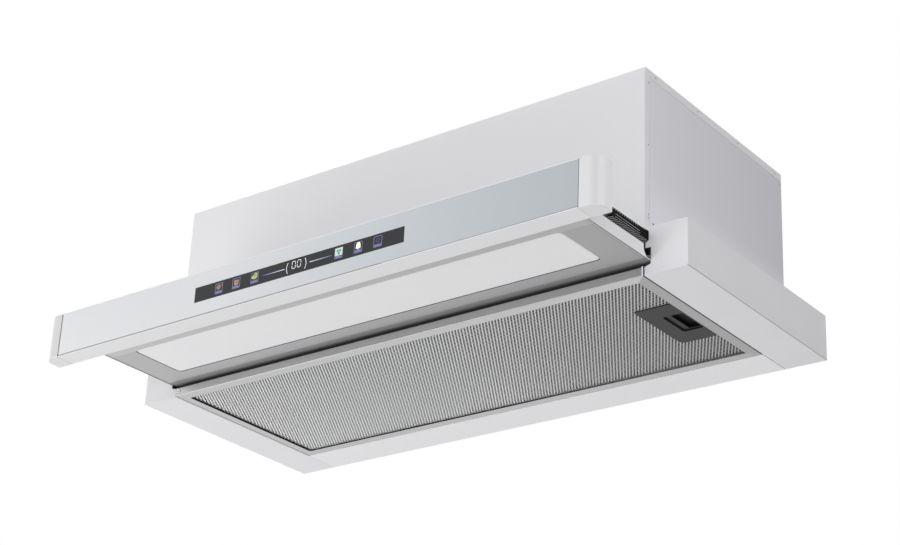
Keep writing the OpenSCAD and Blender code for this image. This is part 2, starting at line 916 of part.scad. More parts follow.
module filter_mesh_inner() color([0.50, 0.50, 0.50])
    difference() {
        along_y(mesh_y0, mesh_y1)
            polygon([
                for (i = [0 : 4 * folds]) fold_point(i, 0),
                for (i = [4 * folds : -1 : 0]) fold_point(i, mesh_t)
            ]);
        translate([0, 0, filter_z])
            linear_extrude(filter_t)
                latch_plan(seam);
    }

// ---------- latch ----------

grip_x1 = latch_x1 - grip_edge;
grip_x0 = grip_x1 - grip_w;
latch_top = filter_top - frame_t - seam;
slider_l = grip_l + 2 * slider_over;

module latch_outline(wall) {
    difference() {
        latch_plan(-wall);
        rect([latch_x1 - wall, latch_y - latch_l], [latch_x1 + latch_w, latch_y + latch_l]);
    }
}

// Plate with the grip window, and the walls that hold it in the mesh
module latch_plate() color([0.30, 0.30, 0.31])
    difference() {
        union() {
            translate([0, 0, latch_z])
                linear_extrude(latch_t)
                    latch_outline(0);
            translate([0, 0, latch_z])
                linear_extrude(latch_top - latch_z)
                    difference() {
                        latch_outline(0);
                        latch_outline(frame_t);
                    }
            for (s = [-1, 1])
                translate([0, latch_y + s * (slider_l / 2 + fit + frame_t / 2), 0])
                    slab([latch_x0 + latch_r, -frame_t / 2, latch_z],
                        [latch_x1 - grip_edge, frame_t / 2, latch_top - mesh_t]);
        }
        translate([0, 0, latch_z - cut])
            linear_extrude(latch_t + 2 * cut)
                round_rect([grip_x0, latch_y - grip_l / 2], [grip_x1, latch_y + grip_l / 2], grip_r);
        slab([latch_x1 - 2 * frame_t, latch_y - slider_l / 2 - fit, slider_z - fit / 2],
            [latch_x1 + cut, latch_y + slider_l / 2 + fit, latch_top + cut]);
    }

// Slider with the finger bar, its recess and the bolt, which stops short of the lip
module latch_slider() color([0.26, 0.26, 0.27])
    difference() {
        recess_y1 = latch_y + grip_l / 2 - frame_t;
        union() {
            slab([latch_x0 + frame_t + latch_travel + fit, latch_y - slider_l / 2, slider_z],
                [latch_x1, latch_y + slider_l / 2, latch_top - mesh_t]);
            slab([latch_x1 - cut, latch_y - bolt_w / 2, bolt_z],
                [filter_hw + filter_gap / 3, latch_y + bolt_w / 2, bolt_z + bolt_t]);
        }
        translate([0, 0, slider_z - cut])
            linear_extrude(latch_top - slider_z - mesh_t - frame_t + cut)
                difference() {
                    round_rect([grip_x0, latch_y - grip_l / 2 + frame_t],
                        [grip_x1 - fit, recess_y1], grip_r - frame_t / 2);
                    rect([grip_x0 + finger_slot, latch_y - grip_l],
                        [grip_x0 + finger_slot + finger_w, recess_y1 - finger_slot]);
                }
    }

// ---------- blower ----------

fan_y = rear_y - fan_back;
scroll_hw = wheel_hw + wheel_gap;
volute_end = volute_r(-180);
tongue_y = fan_y + volute_r(tongue_a) * cos(tongue_a);
duct_y = fan_y + (volute_r(tongue_a) * cos(tongue_a) - volute_end) / 2;

function volute_r(a) = wheel_r + tongue_gap + scroll_growth * (tongue_a - a) / 360;

function volute_point(a, wall) =
    [fan_y + (volute_r(a) + wall) * cos(a), fan_z + (volute_r(a) + wall) * sin(a)];

// Scroll in Y and Z: the spiral, then straight up to the outlet
module volute(wall, top) {
    polygon([
        for (i = [0 : volute_steps])
            volute_point(tongue_a - i * (tongue_a + 180) / volute_steps, wall),
        [fan_y - volute_end - wall, top],
        [tongue_y + wall, top]
    ]);
}

module scroll_half() {
    difference() {
        union() {
            along_x(0, scroll_hw)
                difference() {
                    volute(scroll_wall, duct_z);
                    volute(0, duct_z + cut);
                }
            along_x(scroll_hw, scroll_hw + scroll_wall)
                volute(scroll_wall, duct_z);
            slab([0, fan_y - volute_end - scroll_wall - foot_w / 2, duct_z - scroll_wall],
                [scroll_hw + scroll_wall + foot_w / 2, tongue_y + scroll_wall + foot_w / 2, duct_z]);
            translate([scroll_hw - scroll_wall, fan_y, fan_z])
                rotate([0, 90, 0])
                    cylinder(r = inlet_r + scroll_wall, h = scroll_wall);
        }
        slab([-cut, fan_y - volute_end, duct_z - 2 * scroll_wall],
            [scroll_hw, tongue_y, duct_z + cut]);
        translate([scroll_hw - scroll_wall - cut, fan_y, fan_z])
            rotate([0, 90, 0])
                cylinder(r = inlet_r, h = 2 * scroll_wall + 2 * cut);
    }
}

module scroll_left() color(plastic)
    left()
        scroll_half();

module scroll_right() color(plastic)
    scroll_half();

// Forward curved blade: the lean grows towards the rim
function blade_angle(s) = blade_lean * pow(s, blade_curve);

function blade_point(s, side) =
    let (r = wheel_r - blade_d + s * (blade_d - blade_inset),
        a = blade_angle(s) + side * asin(blade_t / 2 / r))
    [r * cos(a), r * sin(a)];

module blade() {
    polygon([
        for (i = [0 : blade_steps]) blade_point(i / blade_steps, 1),
        for (i = [blade_steps : -1 : 0]) blade_point(i / blade_steps, -1)
    ]);
}

// Turns a piece built along Z so that it lies on the fan's axis, along X
module on_fan_axis() {
    translate([0, fan_y, fan_z])
        rotate([0, 90, 0])
            children();
}

// Double inlet wheel: centre disc, hub, blades on both sides and end rings
module impeller() color([0.35, 0.36, 0.38])
    on_fan_axis()
        difference() {
            union() {
                translate([0, 0, -wheel_hw])
                    linear_extrude(2 * wheel_hw)
                        for (i = [0 : blades - 1])
                            rotate(i * 360 / blades)
                                blade();
                translate([0, 0, -disc_t / 2])
                    cylinder(r = wheel_r, h = disc_t);
                for (z = [-wheel_hw, wheel_hw - disc_t])
                    translate([0, 0, z])
                        difference() {
                            cylinder(r = wheel_r, h = disc_t);
                            translate([0, 0, -cut])
                                cylinder(r = wheel_r - ring_w, h = disc_t + 2 * cut);
                        }
                translate([0, 0, -hub_r])
                    cylinder(r = hub_r, h = hub_r + disc_t);
            }
            translate([0, 0, -hub_r - cut])
                cylinder(r = shaft_r + run_fit / 2, h = 2 * hub_r + disc_t);
        }

motor_x0 = hub_r;

module fan_shaft() color("silver")
    on_fan_axis()
        translate([0, 0, -hub_r])
            cylinder(r = shaft_r, h = motor_x0 + hub_r + motor_len + hub_r / 2);

// Motor can with a bearing boss at each end; it sits half inside the wheel
module motor() color([0.55, 0.56, 0.58])
    on_fan_axis()
        difference() {
            union() {
                translate([0, 0, motor_x0])
                    cylinder(r = 2 * shaft_r, h = motor_len);
                translate([0, 0, motor_x0 + shaft_r])
                    cylinder(r = motor_r - shaft_r, h = motor_len - 2 * shaft_r);
                translate([0, 0, motor_x0 + 2 * shaft_r])
                    cylinder(r = motor_r, h = motor_len - 4 * shaft_r);
            }
            translate([0, 0, motor_x0 - cut])
                cylinder(r = shaft_r + run_fit, h = motor_len + 2 * cut);
        }

// Clamp ring with three arms that reach to the rim of the right inlet
module motor_bracket() color(zinc)
    on_fan_axis()
        translate([0, 0, scroll_hw + scroll_wall])
            difference() {
                union() {
                    cylinder(r = motor_r + scroll_wall, h = arm_w);
                    for (a = [60, 180, 300])
                        rotate(a)
                            translate([motor_r, -arm_w / 2, 0])
                                cube([inlet_r + arm_w - motor_r, arm_w, scroll_wall]);
                }
                translate([0, 0, -cut])
                    cylinder(r = motor_r + run_fit, h = arm_w + 2 * cut);
            }

// ---------- duct ----------

hinge_z = hood_h + flap_rise;
bore_r = duct_r - duct_wall;
stop_z = hinge_z - pin_r - fit;
bar_hw = flap_off - barrel_r - fit;
barrel_l = 2 * (bore_r - duct_wall - flap_off);

module collar_screw_places() {
    for (x = [-1, 1], y = [-1, 1])
        translate([x * (duct_flange / 2 - foot_w / 2), duct_y + y * (duct_flange / 2 - foot_w / 2), 0])
            children();
}

// Tube between two radii
module tube(r0, r1, z0, z1) {
    translate([0, 0, z0])
        difference() {
            cylinder(r = r1, h = z1 - z0, $fn = round_fn);
            translate([0, 0, -cut])
                cylinder(r = r0, h = z1 - z0 + 2 * cut, $fn = round_fn);
        }
}

// Spigot with a square flange, a middle bar, a stop ring and the pin holes
module duct_collar() color(plastic)
    difference() {
        union() {
            translate([0, 0, hood_h])
                linear_extrude(flange_t)
                    difference() {
                        round_rect([-duct_flange / 2, duct_y - duct_flange / 2],
                            [duct_flange / 2, duct_y + duct_flange / 2], foot_w / 2);
                        translate([0, duct_y])
                            circle(bore_r, $fn = round_fn);
                    }
            translate([0, duct_y, 0]) {
                tube(bore_r, duct_r, hood_h, hood_h + duct_h);
                tube(bore_r - duct_wall, duct_r - duct_wall / 2, stop_z - flange_t, stop_z);
                slab([-bar_hw, -duct_r + duct_wall / 2, stop_z - flange_t],
                    [bar_hw, duct_r - duct_wall / 2, hinge_z]);
            }
        }
        both()
            translate([flap_off, duct_y, hinge_z])
                rotate([90, 0, 0])
                    cylinder(r = pin_r + run_fit, h = 2 * duct_r + 2 * cut, center = true, $fn = small_fn);
        collar_screw_places()
            translate([0, 0, hood_h - cut])
                cylinder(r = screw_r + run_fit, h = flange_t + 2 * cut, $fn = small_fn);
    }

module collar_screws() color("silver")
    collar_screw_places()
        union() {
            translate([0, 0, hood_h + flange_t])
                cylinder(r1 = screw_head_r, r2 = screw_head_r - screw_r / 2, h = screw_r, $fn = small_fn);
            translate([0, 0, duct_z - 4 * screw_r])
                cylinder(r = screw_r, h = 4 * screw_r + sheet_t + flange_t, $fn = small_fn);
        }

// Half round flap on a barrel whose pins turn in the collar's wall
module flap() {
    translate([0, duct_y, hinge_z])
        union() {
            intersection() {
                translate([0, 0, -pin_r])
                    cylinder(r = bore_r - 2 * fit, h = flap_t, $fn = round_fn);
                slab([flap_off, -duct_r, -2 * flap_t], [duct_r, duct_r, flap_t]);
            }
            translate([flap_off, 0, 0])
                rotate([90, 0, 0])
                    cylinder(r = barrel_r, h = barrel_l, center = true, $fn = small_fn);
            translate([flap_off, 0, 0])
                rotate([90, 0, 0])
                    cylinder(r = pin_r, h = 2 * (duct_r - duct_wall / 2), center = true, $fn = small_fn);
        }
}

module flap_left() color([0.24, 0.25, 0.26])
    left()
        flap();

module flap_right() color([0.24, 0.25, 0.26])
    flap();

// ---------- electrics ----------

ctrl_z1 = duct_z;
ctrl_z0 = ctrl_z1 - ctrl_h;

module gland_place() {
    translate([ctrl_x + ctrl_w / 4, ctrl_y + ctrl_d / 2, 0])
        children();
}

// Box open at the bottom, screwed under the top panel
module control_box() color([0.88, 0.88, 0.86])
    difference() {
        slab([ctrl_x, ctrl_y, ctrl_z0], [ctrl_x + ctrl_w, ctrl_y + ctrl_d, ctrl_z1]);
        slab([ctrl_x + ctrl_wall, ctrl_y + ctrl_wall, ctrl_z0 - cut],
            [ctrl_x + ctrl_w - ctrl_wall, ctrl_y + ctrl_d - ctrl_wall, ctrl_z1 - ctrl_wall]);
        gland_place()
            translate([0, 0, ctrl_z1 - ctrl_wall - cut])
                cylinder(r = gland_r + run_fit, h = ctrl_wall + 2 * cut);
    }

module control_lid() color([0.80, 0.80, 0.78])
    union() {
        slab([ctrl_x, ctrl_y, ctrl_z0 - ctrl_wall], [ctrl_x + ctrl_w, ctrl_y + ctrl_d, ctrl_z0]);
        slab([ctrl_x + ctrl_wall + fit, ctrl_y + ctrl_wall + fit, ctrl_z0],
            [ctrl_x + ctrl_w - ctrl_wall - fit, ctrl_y + 2 * ctrl_wall, ctrl_z0 + 2 * ctrl_wall]);
        slab([ctrl_x + ctrl_wall + fit, ctrl_y + ctrl_d - 2 * ctrl_wall, ctrl_z0],
            [ctrl_x + ctrl_w - ctrl_wall - fit, ctrl_y + ctrl_d - ctrl_wall - fit,
            ctrl_z0 + 2 * ctrl_wall]);
    }

// Transformer, relay and terminals: place, width and depth as shares of the
// board, then height as a share of the box
board_parts = [
    [0.62, 0.2, 0.3, 0.5, 0.33],
    [0.38, 0.2, 0.15, 0.35, 0.25],
    [0.5, 0.85, 0.4, 0.1, 0.2]
];

// Board on the lid's ledges, with its parts on top
module control_board() color("darkgreen")
    translate([ctrl_x + ctrl_wall + 2 * fit, ctrl_y + ctrl_wall + 2 * fit, ctrl_z0 + 2 * ctrl_wall])
        union() {
            board_w = ctrl_w - 2 * ctrl_wall - 4 * fit;
            board_d = ctrl_d - 2 * ctrl_wall - 4 * fit;
            cube([board_w, board_d, board_t]);
            for (p = board_parts)
                translate([p[0] * board_w, p[1] * board_d, board_t])
                    cube([p[2] * board_w, p[3] * board_d, p[4] * ctrl_h]);
        }

module lamp_driver() color("whitesmoke")
    translate([bx - seam_flange - foot_w - driver_w, ctrl_y + driver_d, duct_z - driver_h])
        cube([driver_w, driver_d, driver_h]);

// Gland with a hexagon nut outside; its bore guides the supply cord
module cable_gland() color(plastic)
    gland_place()
        translate([0, 0, ctrl_z1 - ctrl_wall - gland_r / 2])
            difference() {
                union() {
                    cylinder(r = gland_r, h = ctrl_wall + sheet_t + gland_r * 2);
                    translate([0, 0, ctrl_wall + gland_r / 2 + sheet_t])
                        cylinder(r = nut_r, h = gland_r / 2, $fn = 6);
                }
                translate([0, 0, -cut])
                    cylinder(r = cable_r, h = ctrl_wall + sheet_t + gland_r * 2 + 2 * cut);
            }

box_front();
box_side_left();
box_side_right();
box_rear();
box_top();
base_side_left();
base_side_right();
base_rear();
slide_bracket_left();
slide_bracket_right();
slide_outer_left();
slide_outer_right();
slide_mid_left();
slide_mid_right();
slide_inner_left();
slide_inner_right();
glides_fixed();
glides_mid();
glides_inner();
front_profile();
end_cap_left();
end_cap_right();
glass_fascia();
display_window();
touch_board();
bumpers();
light_tray();
tray_lid();
diffuser();
lamp_board();
filter_frame_front();
filter_frame_rear();
filter_frame_left();
filter_frame_right();
filter_mesh_outer();
filter_mesh_inner();
latch_plate();
latch_slider();
scroll_left();
scroll_right();
motor();
motor_bracket();
impeller();
fan_shaft();
duct_collar();
collar_screws();
flap_left();
flap_right();
control_box();
control_lid();
control_board();
lamp_driver();
cable_gland();
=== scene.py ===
import math

import bmesh
import bpy
from mathutils import Matrix, Vector


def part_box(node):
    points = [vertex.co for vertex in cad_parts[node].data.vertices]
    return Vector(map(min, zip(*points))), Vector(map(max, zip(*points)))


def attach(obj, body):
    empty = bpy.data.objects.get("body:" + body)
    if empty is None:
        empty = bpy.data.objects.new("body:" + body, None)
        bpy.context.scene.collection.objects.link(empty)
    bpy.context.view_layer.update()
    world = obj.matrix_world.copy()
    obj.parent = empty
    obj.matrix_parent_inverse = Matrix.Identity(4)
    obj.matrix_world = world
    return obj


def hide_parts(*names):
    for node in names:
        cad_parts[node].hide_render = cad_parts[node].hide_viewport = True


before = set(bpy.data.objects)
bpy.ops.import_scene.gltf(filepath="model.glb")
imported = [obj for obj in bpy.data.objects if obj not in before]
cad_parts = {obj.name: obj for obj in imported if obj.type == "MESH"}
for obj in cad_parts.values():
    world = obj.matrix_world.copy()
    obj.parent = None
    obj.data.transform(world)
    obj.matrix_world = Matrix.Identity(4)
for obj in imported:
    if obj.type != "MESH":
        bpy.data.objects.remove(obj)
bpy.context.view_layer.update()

# ---------------------------------------------------------------- upper box
# Folded sheet steel, powder coated white. Five panels are lapped along
# their flanges, and the fold edges are rounded by the coating.

MM = 0.001


class Value:
    """An output of a node. Arithmetic on it adds Math nodes."""

    def __init__(self, nodes, socket):
        self.nodes = nodes
        self.socket = socket

    def maths(self, operation, *terms):
        return self.nodes.add("ShaderNodeMath", {"operation": operation}, dict(enumerate(terms)))

    def __add__(self, other):
        return self.maths("ADD", self, other)

    def __sub__(self, other):
        return self.maths("SUBTRACT", self, other)

    def __rsub__(self, other):
        return self.maths("SUBTRACT", other, self)

    def __mul__(self, other):
        return self.maths("MULTIPLY", self, other)

    def __abs__(self):
        return self.maths("ABSOLUTE", self)

    __radd__ = __add__
    __rmul__ = __mul__


def full(colour):
    """A colour or a grey number as the value of a socket. A link stays as it is."""
    if isinstance(colour, Value):
        return colour
    return (colour, colour, colour, 1) if isinstance(colour, (int, float)) else (*colour, 1)


class Nodes:
    """A node tree. Every node in it comes from one method."""

    def __init__(self, tree):
        self.tree = tree

    def add(self, kind, settings=None, sockets=None, output=0):
        """Adds a node: its settings first, then the values or links of its sockets."""
        node = self.tree.nodes.new(kind)
        for key, value in (settings or {}).items():
            if key == "stops":
                while len(node.color_ramp.elements) < len(value):
                    node.color_ramp.elements.new(0.5)
                for element, (at, colour) in zip(node.color_ramp.elements, value):
                    element.position = at
                    element.color = full(colour)
            else:
                setattr(node, key, value)
        self.feed(node, sockets or {})
        return Value(self, node.outputs[output]) if node.outputs else None

    def feed(self, node, sockets):
        """Each socket takes a value, a link or a list of links."""
        for key, value in sockets.items():
            for item in value if isinstance(value, list) else [value]:
                if isinstance(item, Value):
                    self.tree.links.new(item.socket, node.inputs[key])
                else:
                    node.inputs[key].default_value = item

    def blend(self, mask, low, high):
        """A colour between two, by the mask."""
        return self.add("ShaderNodeMix", {"data_type": "RGBA"},
                        {0: mask, 6: full(low), 7: full(high)}, 2)


class Finish(Nodes):
    """A material: one Principled shader, and the nodes that feed it."""

    def __init__(self, name, colour, roughness, **constants):
        self.material = bpy.data.materials.new(name)
        self.material.use_nodes = True
        self.material.diffuse_color = full(colour)
        self.colour = full(colour)[:3]
        super().__init__(self.material.node_tree)
        self.shader = self.tree.nodes["Principled BSDF"]
        self.give(Base_Color=full(colour), Roughness=roughness, **constants)
        self.place = self.add("ShaderNodeTexCoord", output="Object")

    def give(self, **sockets):
        """Values or links for the shader's own sockets."""
        self.feed(self.shader, {key.replace("_", " "): value for key, value in sockets.items()})

    def axis(self, name):
        return self.add("ShaderNodeSeparateXYZ", None, {0: self.place}, name)

    def ramp(self, where, start_mm, end_mm, low=0.0, high=1.0):
        """Runs from low to high between two places along an axis or a value."""
        where = self.axis(where) if isinstance(where, str) else where
        return self.add("ShaderNodeMapRange", None, {
            "Value": where, "From Min": start_mm * MM, "From Max": end_mm * MM,
            "To Min": low, "To Max": high})

    def tones(self, where, *stops):
        """Colours in a row, each at its share of the way."""
        return self.add("ShaderNodeValToRGB", {"stops": stops}, {"Fac": where})

    def noise(self, size_mm, detail=2.0, stretch=(1, 1, 1)):
        """Noise with features of that size, stretched along the axes."""
        spot = self.add("ShaderNodeMapping", None, {"Vector": self.place, "Scale": stretch})
        return self.add("ShaderNodeTexNoise", {"noise_dimensions": "3D"},
                        {"Vector": spot, "Scale": 1 / (size_mm * MM), "Detail": detail})

    def times(self, first, second):
        """One colour multiplied by the other."""
        return self.add("ShaderNodeMix", {"data_type": "RGBA", "blend_type": "MULTIPLY"},
                        {0: 1.0, 6: first, 7: second}, 2)

    def shade(self, mask, darkest):
        """Base colour that falls to a share of itself where the mask is 0."""
        low = tuple(c * darkest for c in self.colour)
        self.give(Base_Color=self.blend(mask, low, self.colour))

    def bump(self, height, depth_mm):
        self.give(Normal=self.add("ShaderNodeBump", None, {
            "Strength": 1.0, "Distance": depth_mm * MM, "Height": height}))


def paint(name, colour, roughness, grain_mm=1.1, depth_mm=0.006):
    """Sprayed coat: orange peel, a faint unevenness in tone and in gloss."""
    coat = Finish(name, colour, roughness, Specular_IOR_Level=0.4)
    coat.shade(coat.noise(60, 3.0), 0.975)
    coat.give(Roughness=coat.noise(25, 2.0) * 0.10 + (roughness - 0.05))
    coat.bump(coat.noise(grain_mm, 1.0), depth_mm)
    return coat


def put(name, mesh, body, finish, node=None):
    """Makes an object of a finished mesh, and hands it to its body."""
    piece = bpy.data.objects.new(name, mesh)
    bpy.context.scene.collection.objects.link(piece)
    if finish:
        mesh.materials.clear()
        mesh.materials.append(finish.material)
    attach(piece, body)
    if node:
        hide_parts(node)
    return piece


def settled(piece, name):
    """The evaluated mesh of a helper object, which is then removed."""
    graph = bpy.context.evaluated_depsgraph_get()
    mesh = bpy.data.meshes.new_from_object(piece.evaluated_get(graph), depsgraph=graph)
    mesh.name = name
    old = piece.data
    bpy.data.objects.remove(piece)
    if old.users == 0:
        bpy.data.meshes.remove(old)
    return mesh


SHARP = math.radians(35)


def rounded(mesh, radius_mm, steps=2):
    """The mesh with its sharp edges rounded."""
    helper = bpy.data.objects.new("helper", mesh)
    bpy.context.scene.collection.objects.link(helper)
    mesh.shade_smooth()
    edge = helper.modifiers.new("edge", "BEVEL")
    edge.width = radius_mm * MM
    edge.segments = steps
    edge.limit_method = "ANGLE"
    edge.angle_limit = SHARP
    edge.harden_normals = True
    edge.use_clamp_overlap = True
    edge.miter_outer = "MITER_ARC"
    return settled(helper, mesh.name)


def dress(finish, slot, *nodes):
    """Gives CAD nodes that keep their own shape a finish."""
    for node in nodes:
        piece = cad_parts[node]
        piece.data.materials.clear()
        piece.data.materials.append(finish.material)


def bend(shape, x, y, radius_mm):
    """Rounds the upright folds at plus and minus x, on the plane of y."""
    folds = [edge for edge in shape.edges if all(
        abs(abs(v.co.x) - x) < 1e-5 and abs(v.co.y - y) < 1e-5 for v in edge.verts)]
    bmesh.ops.bevel(shape, geom=folds, offset=radius_mm * MM, segments=6, profile=0.5,
                    affect="EDGES")


def softened(node, name, body, finish, radius_mm, steps=2, fold_mm=None):
    """A CAD sheet or moulding with its edges rounded, in place of the node."""
    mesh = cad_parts[node].data.copy()
    mesh.name = name
    for key in ("custom_normal", "sharp_face", "sharp_edge"):
        if key in mesh.attributes:
            mesh.attributes.remove(mesh.attributes[key])
    shape = bmesh.new()
    shape.from_mesh(mesh)
    bmesh.ops.remove_doubles(shape, verts=shape.verts, dist=1e-6)
    bmesh.ops.dissolve_limit(shape, angle_limit=math.radians(0.5), verts=shape.verts,
                             edges=shape.edges, use_dissolve_boundaries=False)
    bmesh.ops.connect_verts_concave(shape, faces=shape.faces)
    low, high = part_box(node)
    if fold_mm:
        bend(shape, high.x, low.y, fold_mm)
    shape.to_mesh(mesh)
    shape.free()
    mesh = rounded(mesh, radius_mm, steps)
    for vert in mesh.vertices:
        vert.co = [min(max(vert.co[i], low[i]), high[i]) for i in range(3)]
    return put(name, mesh, body, finish, node)


BEND_R = 1.6
SHEET_R = 0.18
white_paint = paint("white_powder_coat", (0.835, 0.835, 0.845), 0.42)
# Painted shade: the side panels are darkened towards the top and towards the wall.
side_paint = paint("side_powder_coat", (0.855, 0.85, 0.893), 0.45)
painted_side_shade = side_paint.ramp("Z", 60, 95) * side_paint.ramp("Y", -52, 180, 0.05, 0.21)
coat = side_paint.blend(side_paint.noise(60, 3.0) * 0.06, side_paint.colour, 0.6)
side_paint.give(Base_Color=side_paint.blend(painted_side_shade, coat, 0.0))
dress(white_paint, "white_paint", "box_top")
for node, coating, fold in (
        ("box_front", white_paint, BEND_R), ("box_side_left", side_paint, None),
        ("box_side_right", side_paint, None), ("box_rear", white_paint, None)):
    softened(node, f"{node}_panel", "hood", coating, SHEET_R, fold_mm=fold)

# ---------------------------------------------------------------- box screws
# Small pan head screws, zinc plated, with a cross recess. They hold the
# flanges of the top panel and of the side panels together. A black block at
# the foot of each side panel is painted shade for a slot there.


def grained(name, colour, roughness, tone, grain, **constants):
    """A finish with an uneven tone and a fine grain.

    tone: darkest share, then size and detail of its noise, and a stretch where it has one.
    grain: depth, then the same. Sizes are in millimetres.
    """
    finish = Finish(name, colour, roughness, **constants)
    finish.shade(finish.noise(*tone[1:]), tone[0])
    finish.bump(finish.noise(*grain[1:]), grain[0])
    return finish


def made(shape, name):
    """The mesh of a bmesh, which is then freed."""
    mesh = bpy.data.meshes.new(name)
    shape.to_mesh(mesh)
    shape.free()
    return mesh


def blocks(name, parts):
    """A mesh of thin blocks, each a centre and a size in millimetres."""
    shape = bmesh.new()
    for centre, size in parts:
        bmesh.ops.create_cube(shape, size=1.0, matrix=Matrix.Translation(
            Vector(centre) * MM) @ Matrix.Diagonal(Vector(size) * MM).to_4x4())
    return made(shape, name)


def span(node):
    """Lowest and highest corner of a CAD node, in millimetres."""
    low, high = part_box(node)
    return low / MM, high / MM


class Pattern(Nodes):
    """A Geometry Nodes tree with named sizes, run on a cloud of points."""

    def __init__(self, name, sizes):
        super().__init__(bpy.data.node_groups.new(name, "GeometryNodeTree"))
        self.sizes = sizes
        self.keys = {}
        for key, kind in [("Geometry", "NodeSocketGeometry"), *((k, "NodeSocketFloat") for k in sizes),
                          ("Finish", "NodeSocketMaterial")]:
            socket = self.tree.interface.new_socket(key, in_out="INPUT", socket_type=kind)
            self.keys[key] = socket.identifier
        self.tree.interface.new_socket("Geometry", in_out="OUTPUT", socket_type="NodeSocketGeometry")

    def __getitem__(self, name):
        """One of the tree's own inputs."""
        return self.add("NodeGroupInput", output=name)

    def spot(self, x=0.0, y=0.0, z=0.0):
        return self.add("ShaderNodeCombineXYZ", None, {0: x, 1: y, 2: z})

    def at_points(self, instance):
        """The instance on every point, turned by the points' own attribute."""
        turn = self.add("GeometryNodeInputNamedAttribute", {"data_type": "FLOAT_VECTOR"},
                        {"Name": "turn"})
        placed = self.add("GeometryNodeInstanceOnPoints", None,
                          {"Points": self["Geometry"], "Instance": instance, "Rotation": turn})
        real = self.add("GeometryNodeRealizeInstances", None, {"Geometry": placed})
        done = self.add("GeometryNodeSetMaterial", None, {"Geometry": real, "Material": self["Finish"]})
        self.add("NodeGroupOutput", None, {0: done})

    def run(self, name, points, finish):
        """points: place in millimetres and turn in degrees. Gives a plain mesh."""
        cloud = bpy.data.meshes.new(name)
        cloud.from_pydata([Vector(at) * MM for at, turn in points], [], [])
        turns = cloud.attributes.new("turn", "FLOAT_VECTOR", "POINT")
        for item, (at, turn) in zip(turns.data, points):
            item.vector = [math.radians(a) for a in turn]
        helper = bpy.data.objects.new("helper", cloud)
        bpy.context.scene.collection.objects.link(helper)
        nodes = helper.modifiers.new("pattern", "NODES")
        nodes.node_group = self.tree
        for key, size in self.sizes.items():
            nodes[self.keys[key]] = float(size)
        nodes[self.keys["Finish"]] = finish.material
        return settled(helper, name)


HEAD_R = 1.6
HEAD_H = 0.7
HEAD_TOP = 0.62
CROSS_LONG = 0.95
CROSS_WIDE = 0.24
bright_zinc = grained("zinc_plate", (0.62, 0.63, 0.65), 0.3, tone=(0.85, 8, 3.0),
                      grain=(0.01, 0.6, 2.0), Metallic=1.0)
screws = Pattern("pan_head_screws", {"Radius": HEAD_R * MM, "Height": HEAD_H * MM})
rim = screws.add("GeometryNodeMeshCone", None, {
    "Vertices": 20, "Radius Top": screws["Radius"] * HEAD_TOP,
    "Radius Bottom": screws["Radius"], "Depth": screws["Height"]})
cross = [screws.add("GeometryNodeMeshCube", None, {"Size": screws.spot(
    screws["Radius"] * x, screws["Radius"] * y, screws["Height"] * 1.1)})
    for x, y in ((CROSS_LONG, CROSS_WIDE), (CROSS_WIDE, CROSS_LONG))]
cross = screws.add("GeometryNodeTransform", None, {
    "Geometry": screws.add("GeometryNodeJoinGeometry", None, {0: cross}),
    "Translation": screws.spot(0.0, 0.0, screws["Height"])})
screws.at_points(screws.add("GeometryNodeMeshBoolean", {"operation": "DIFFERENCE"},
                            {"Mesh 1": rim, "Mesh 2": cross}))

FRONT_FLANGE = 5.4
REAR_FLANGE = 3.0
TOP_FLANGE_Z = 187.7
front_y = span("box_front")[0].y
side_x = span("box_top")[1].x
rear_y = span("box_top")[1].y
side_spots = [(front_y + FRONT_FLANGE, z) for z in (178.0, 119.8, 56.1, 52.8)]
side_spots += [(y, TOP_FLANGE_Z) for y in (-36.3, 32.0, 100.2, 167.4)]
side_spots += [(rear_y - REAR_FLANGE, z) for z in (180.0, 114.6)]
put("box_screws", screws.run("box_screws", [
    ((side * side_x, y, z), (0, side * 90, 0)) for side in (-1, 1) for y, z in side_spots
], bright_zinc), "hood", None)

SLOT_AT = (-39.2, 50.6)
SLOT_SIZE = (0.1, 2.6, 0.9)
# Black that stands for the shade in slots, seams and gaps: painted shade.
gap_black = grained("gap_black", 0.004, 0.8, tone=(0.8, 3, 2.0), grain=(0.01, 0.5, 2.0),
                    Specular_IOR_Level=0.05)
put("foot_slot_shades", blocks("foot_slot_shades", [((side * side_x, *SLOT_AT), SLOT_SIZE) for side in (-1, 1)]),
    "hood", gap_black)

# ---------------------------------------------------------------- base
# The low wide base: two hollow side blocks and the strip behind the filter,
# of the same white coated steel as the box. Painted shade darkens the lower
# outer edges and the left front faces. Painted light makes the left block
# brighter than the right and the strip brighter than the blocks. A black
# strip in the seam at the strip's right end is painted shade.

BLOCK_R = 0.25
base_low, base_high = span("base_side_right")
base_paint = paint("base_powder_coat", (0.845, 0.845, 0.855), 0.42)
# Painted shade along the lower outer edges, and on the front faces towards the left.
painted_foot_shade = (base_paint.ramp(abs(base_paint.axis("X")), base_high.x - 0.7, base_high.x - 0.3)
             * base_paint.ramp("Z", 0.8, 0.4))
painted_front_shade = (base_paint.ramp("X", 100, -100, 0.0, 0.13)
              * base_paint.ramp("Y", base_low.y + 0.9, base_low.y + 0.5))
# Painted light: the left block is brighter than the right.
painted_light_across = base_paint.ramp("X", -base_high.x, base_high.x)
coat = base_paint.blend(painted_light_across, (0.89, 0.89, 0.9), (0.84, 0.838, 0.862))
coat = base_paint.blend(base_paint.noise(60, 3.0) * 0.1 + painted_front_shade, coat, 0.3)
base_paint.give(Base_Color=base_paint.blend(painted_foot_shade, coat, (0.42, 0.42, 0.43)))
# A brighter copy of the same coat for the strip: painted light.
lit_strip_paint = paint("strip_powder_coat", (0.92, 0.92, 0.928), 0.42)
for node, coating in (("base_side_left", base_paint), ("base_side_right", base_paint),
                      ("base_rear", lit_strip_paint)):
    softened(node, f"{node}_panel", "hood", coating, BLOCK_R)

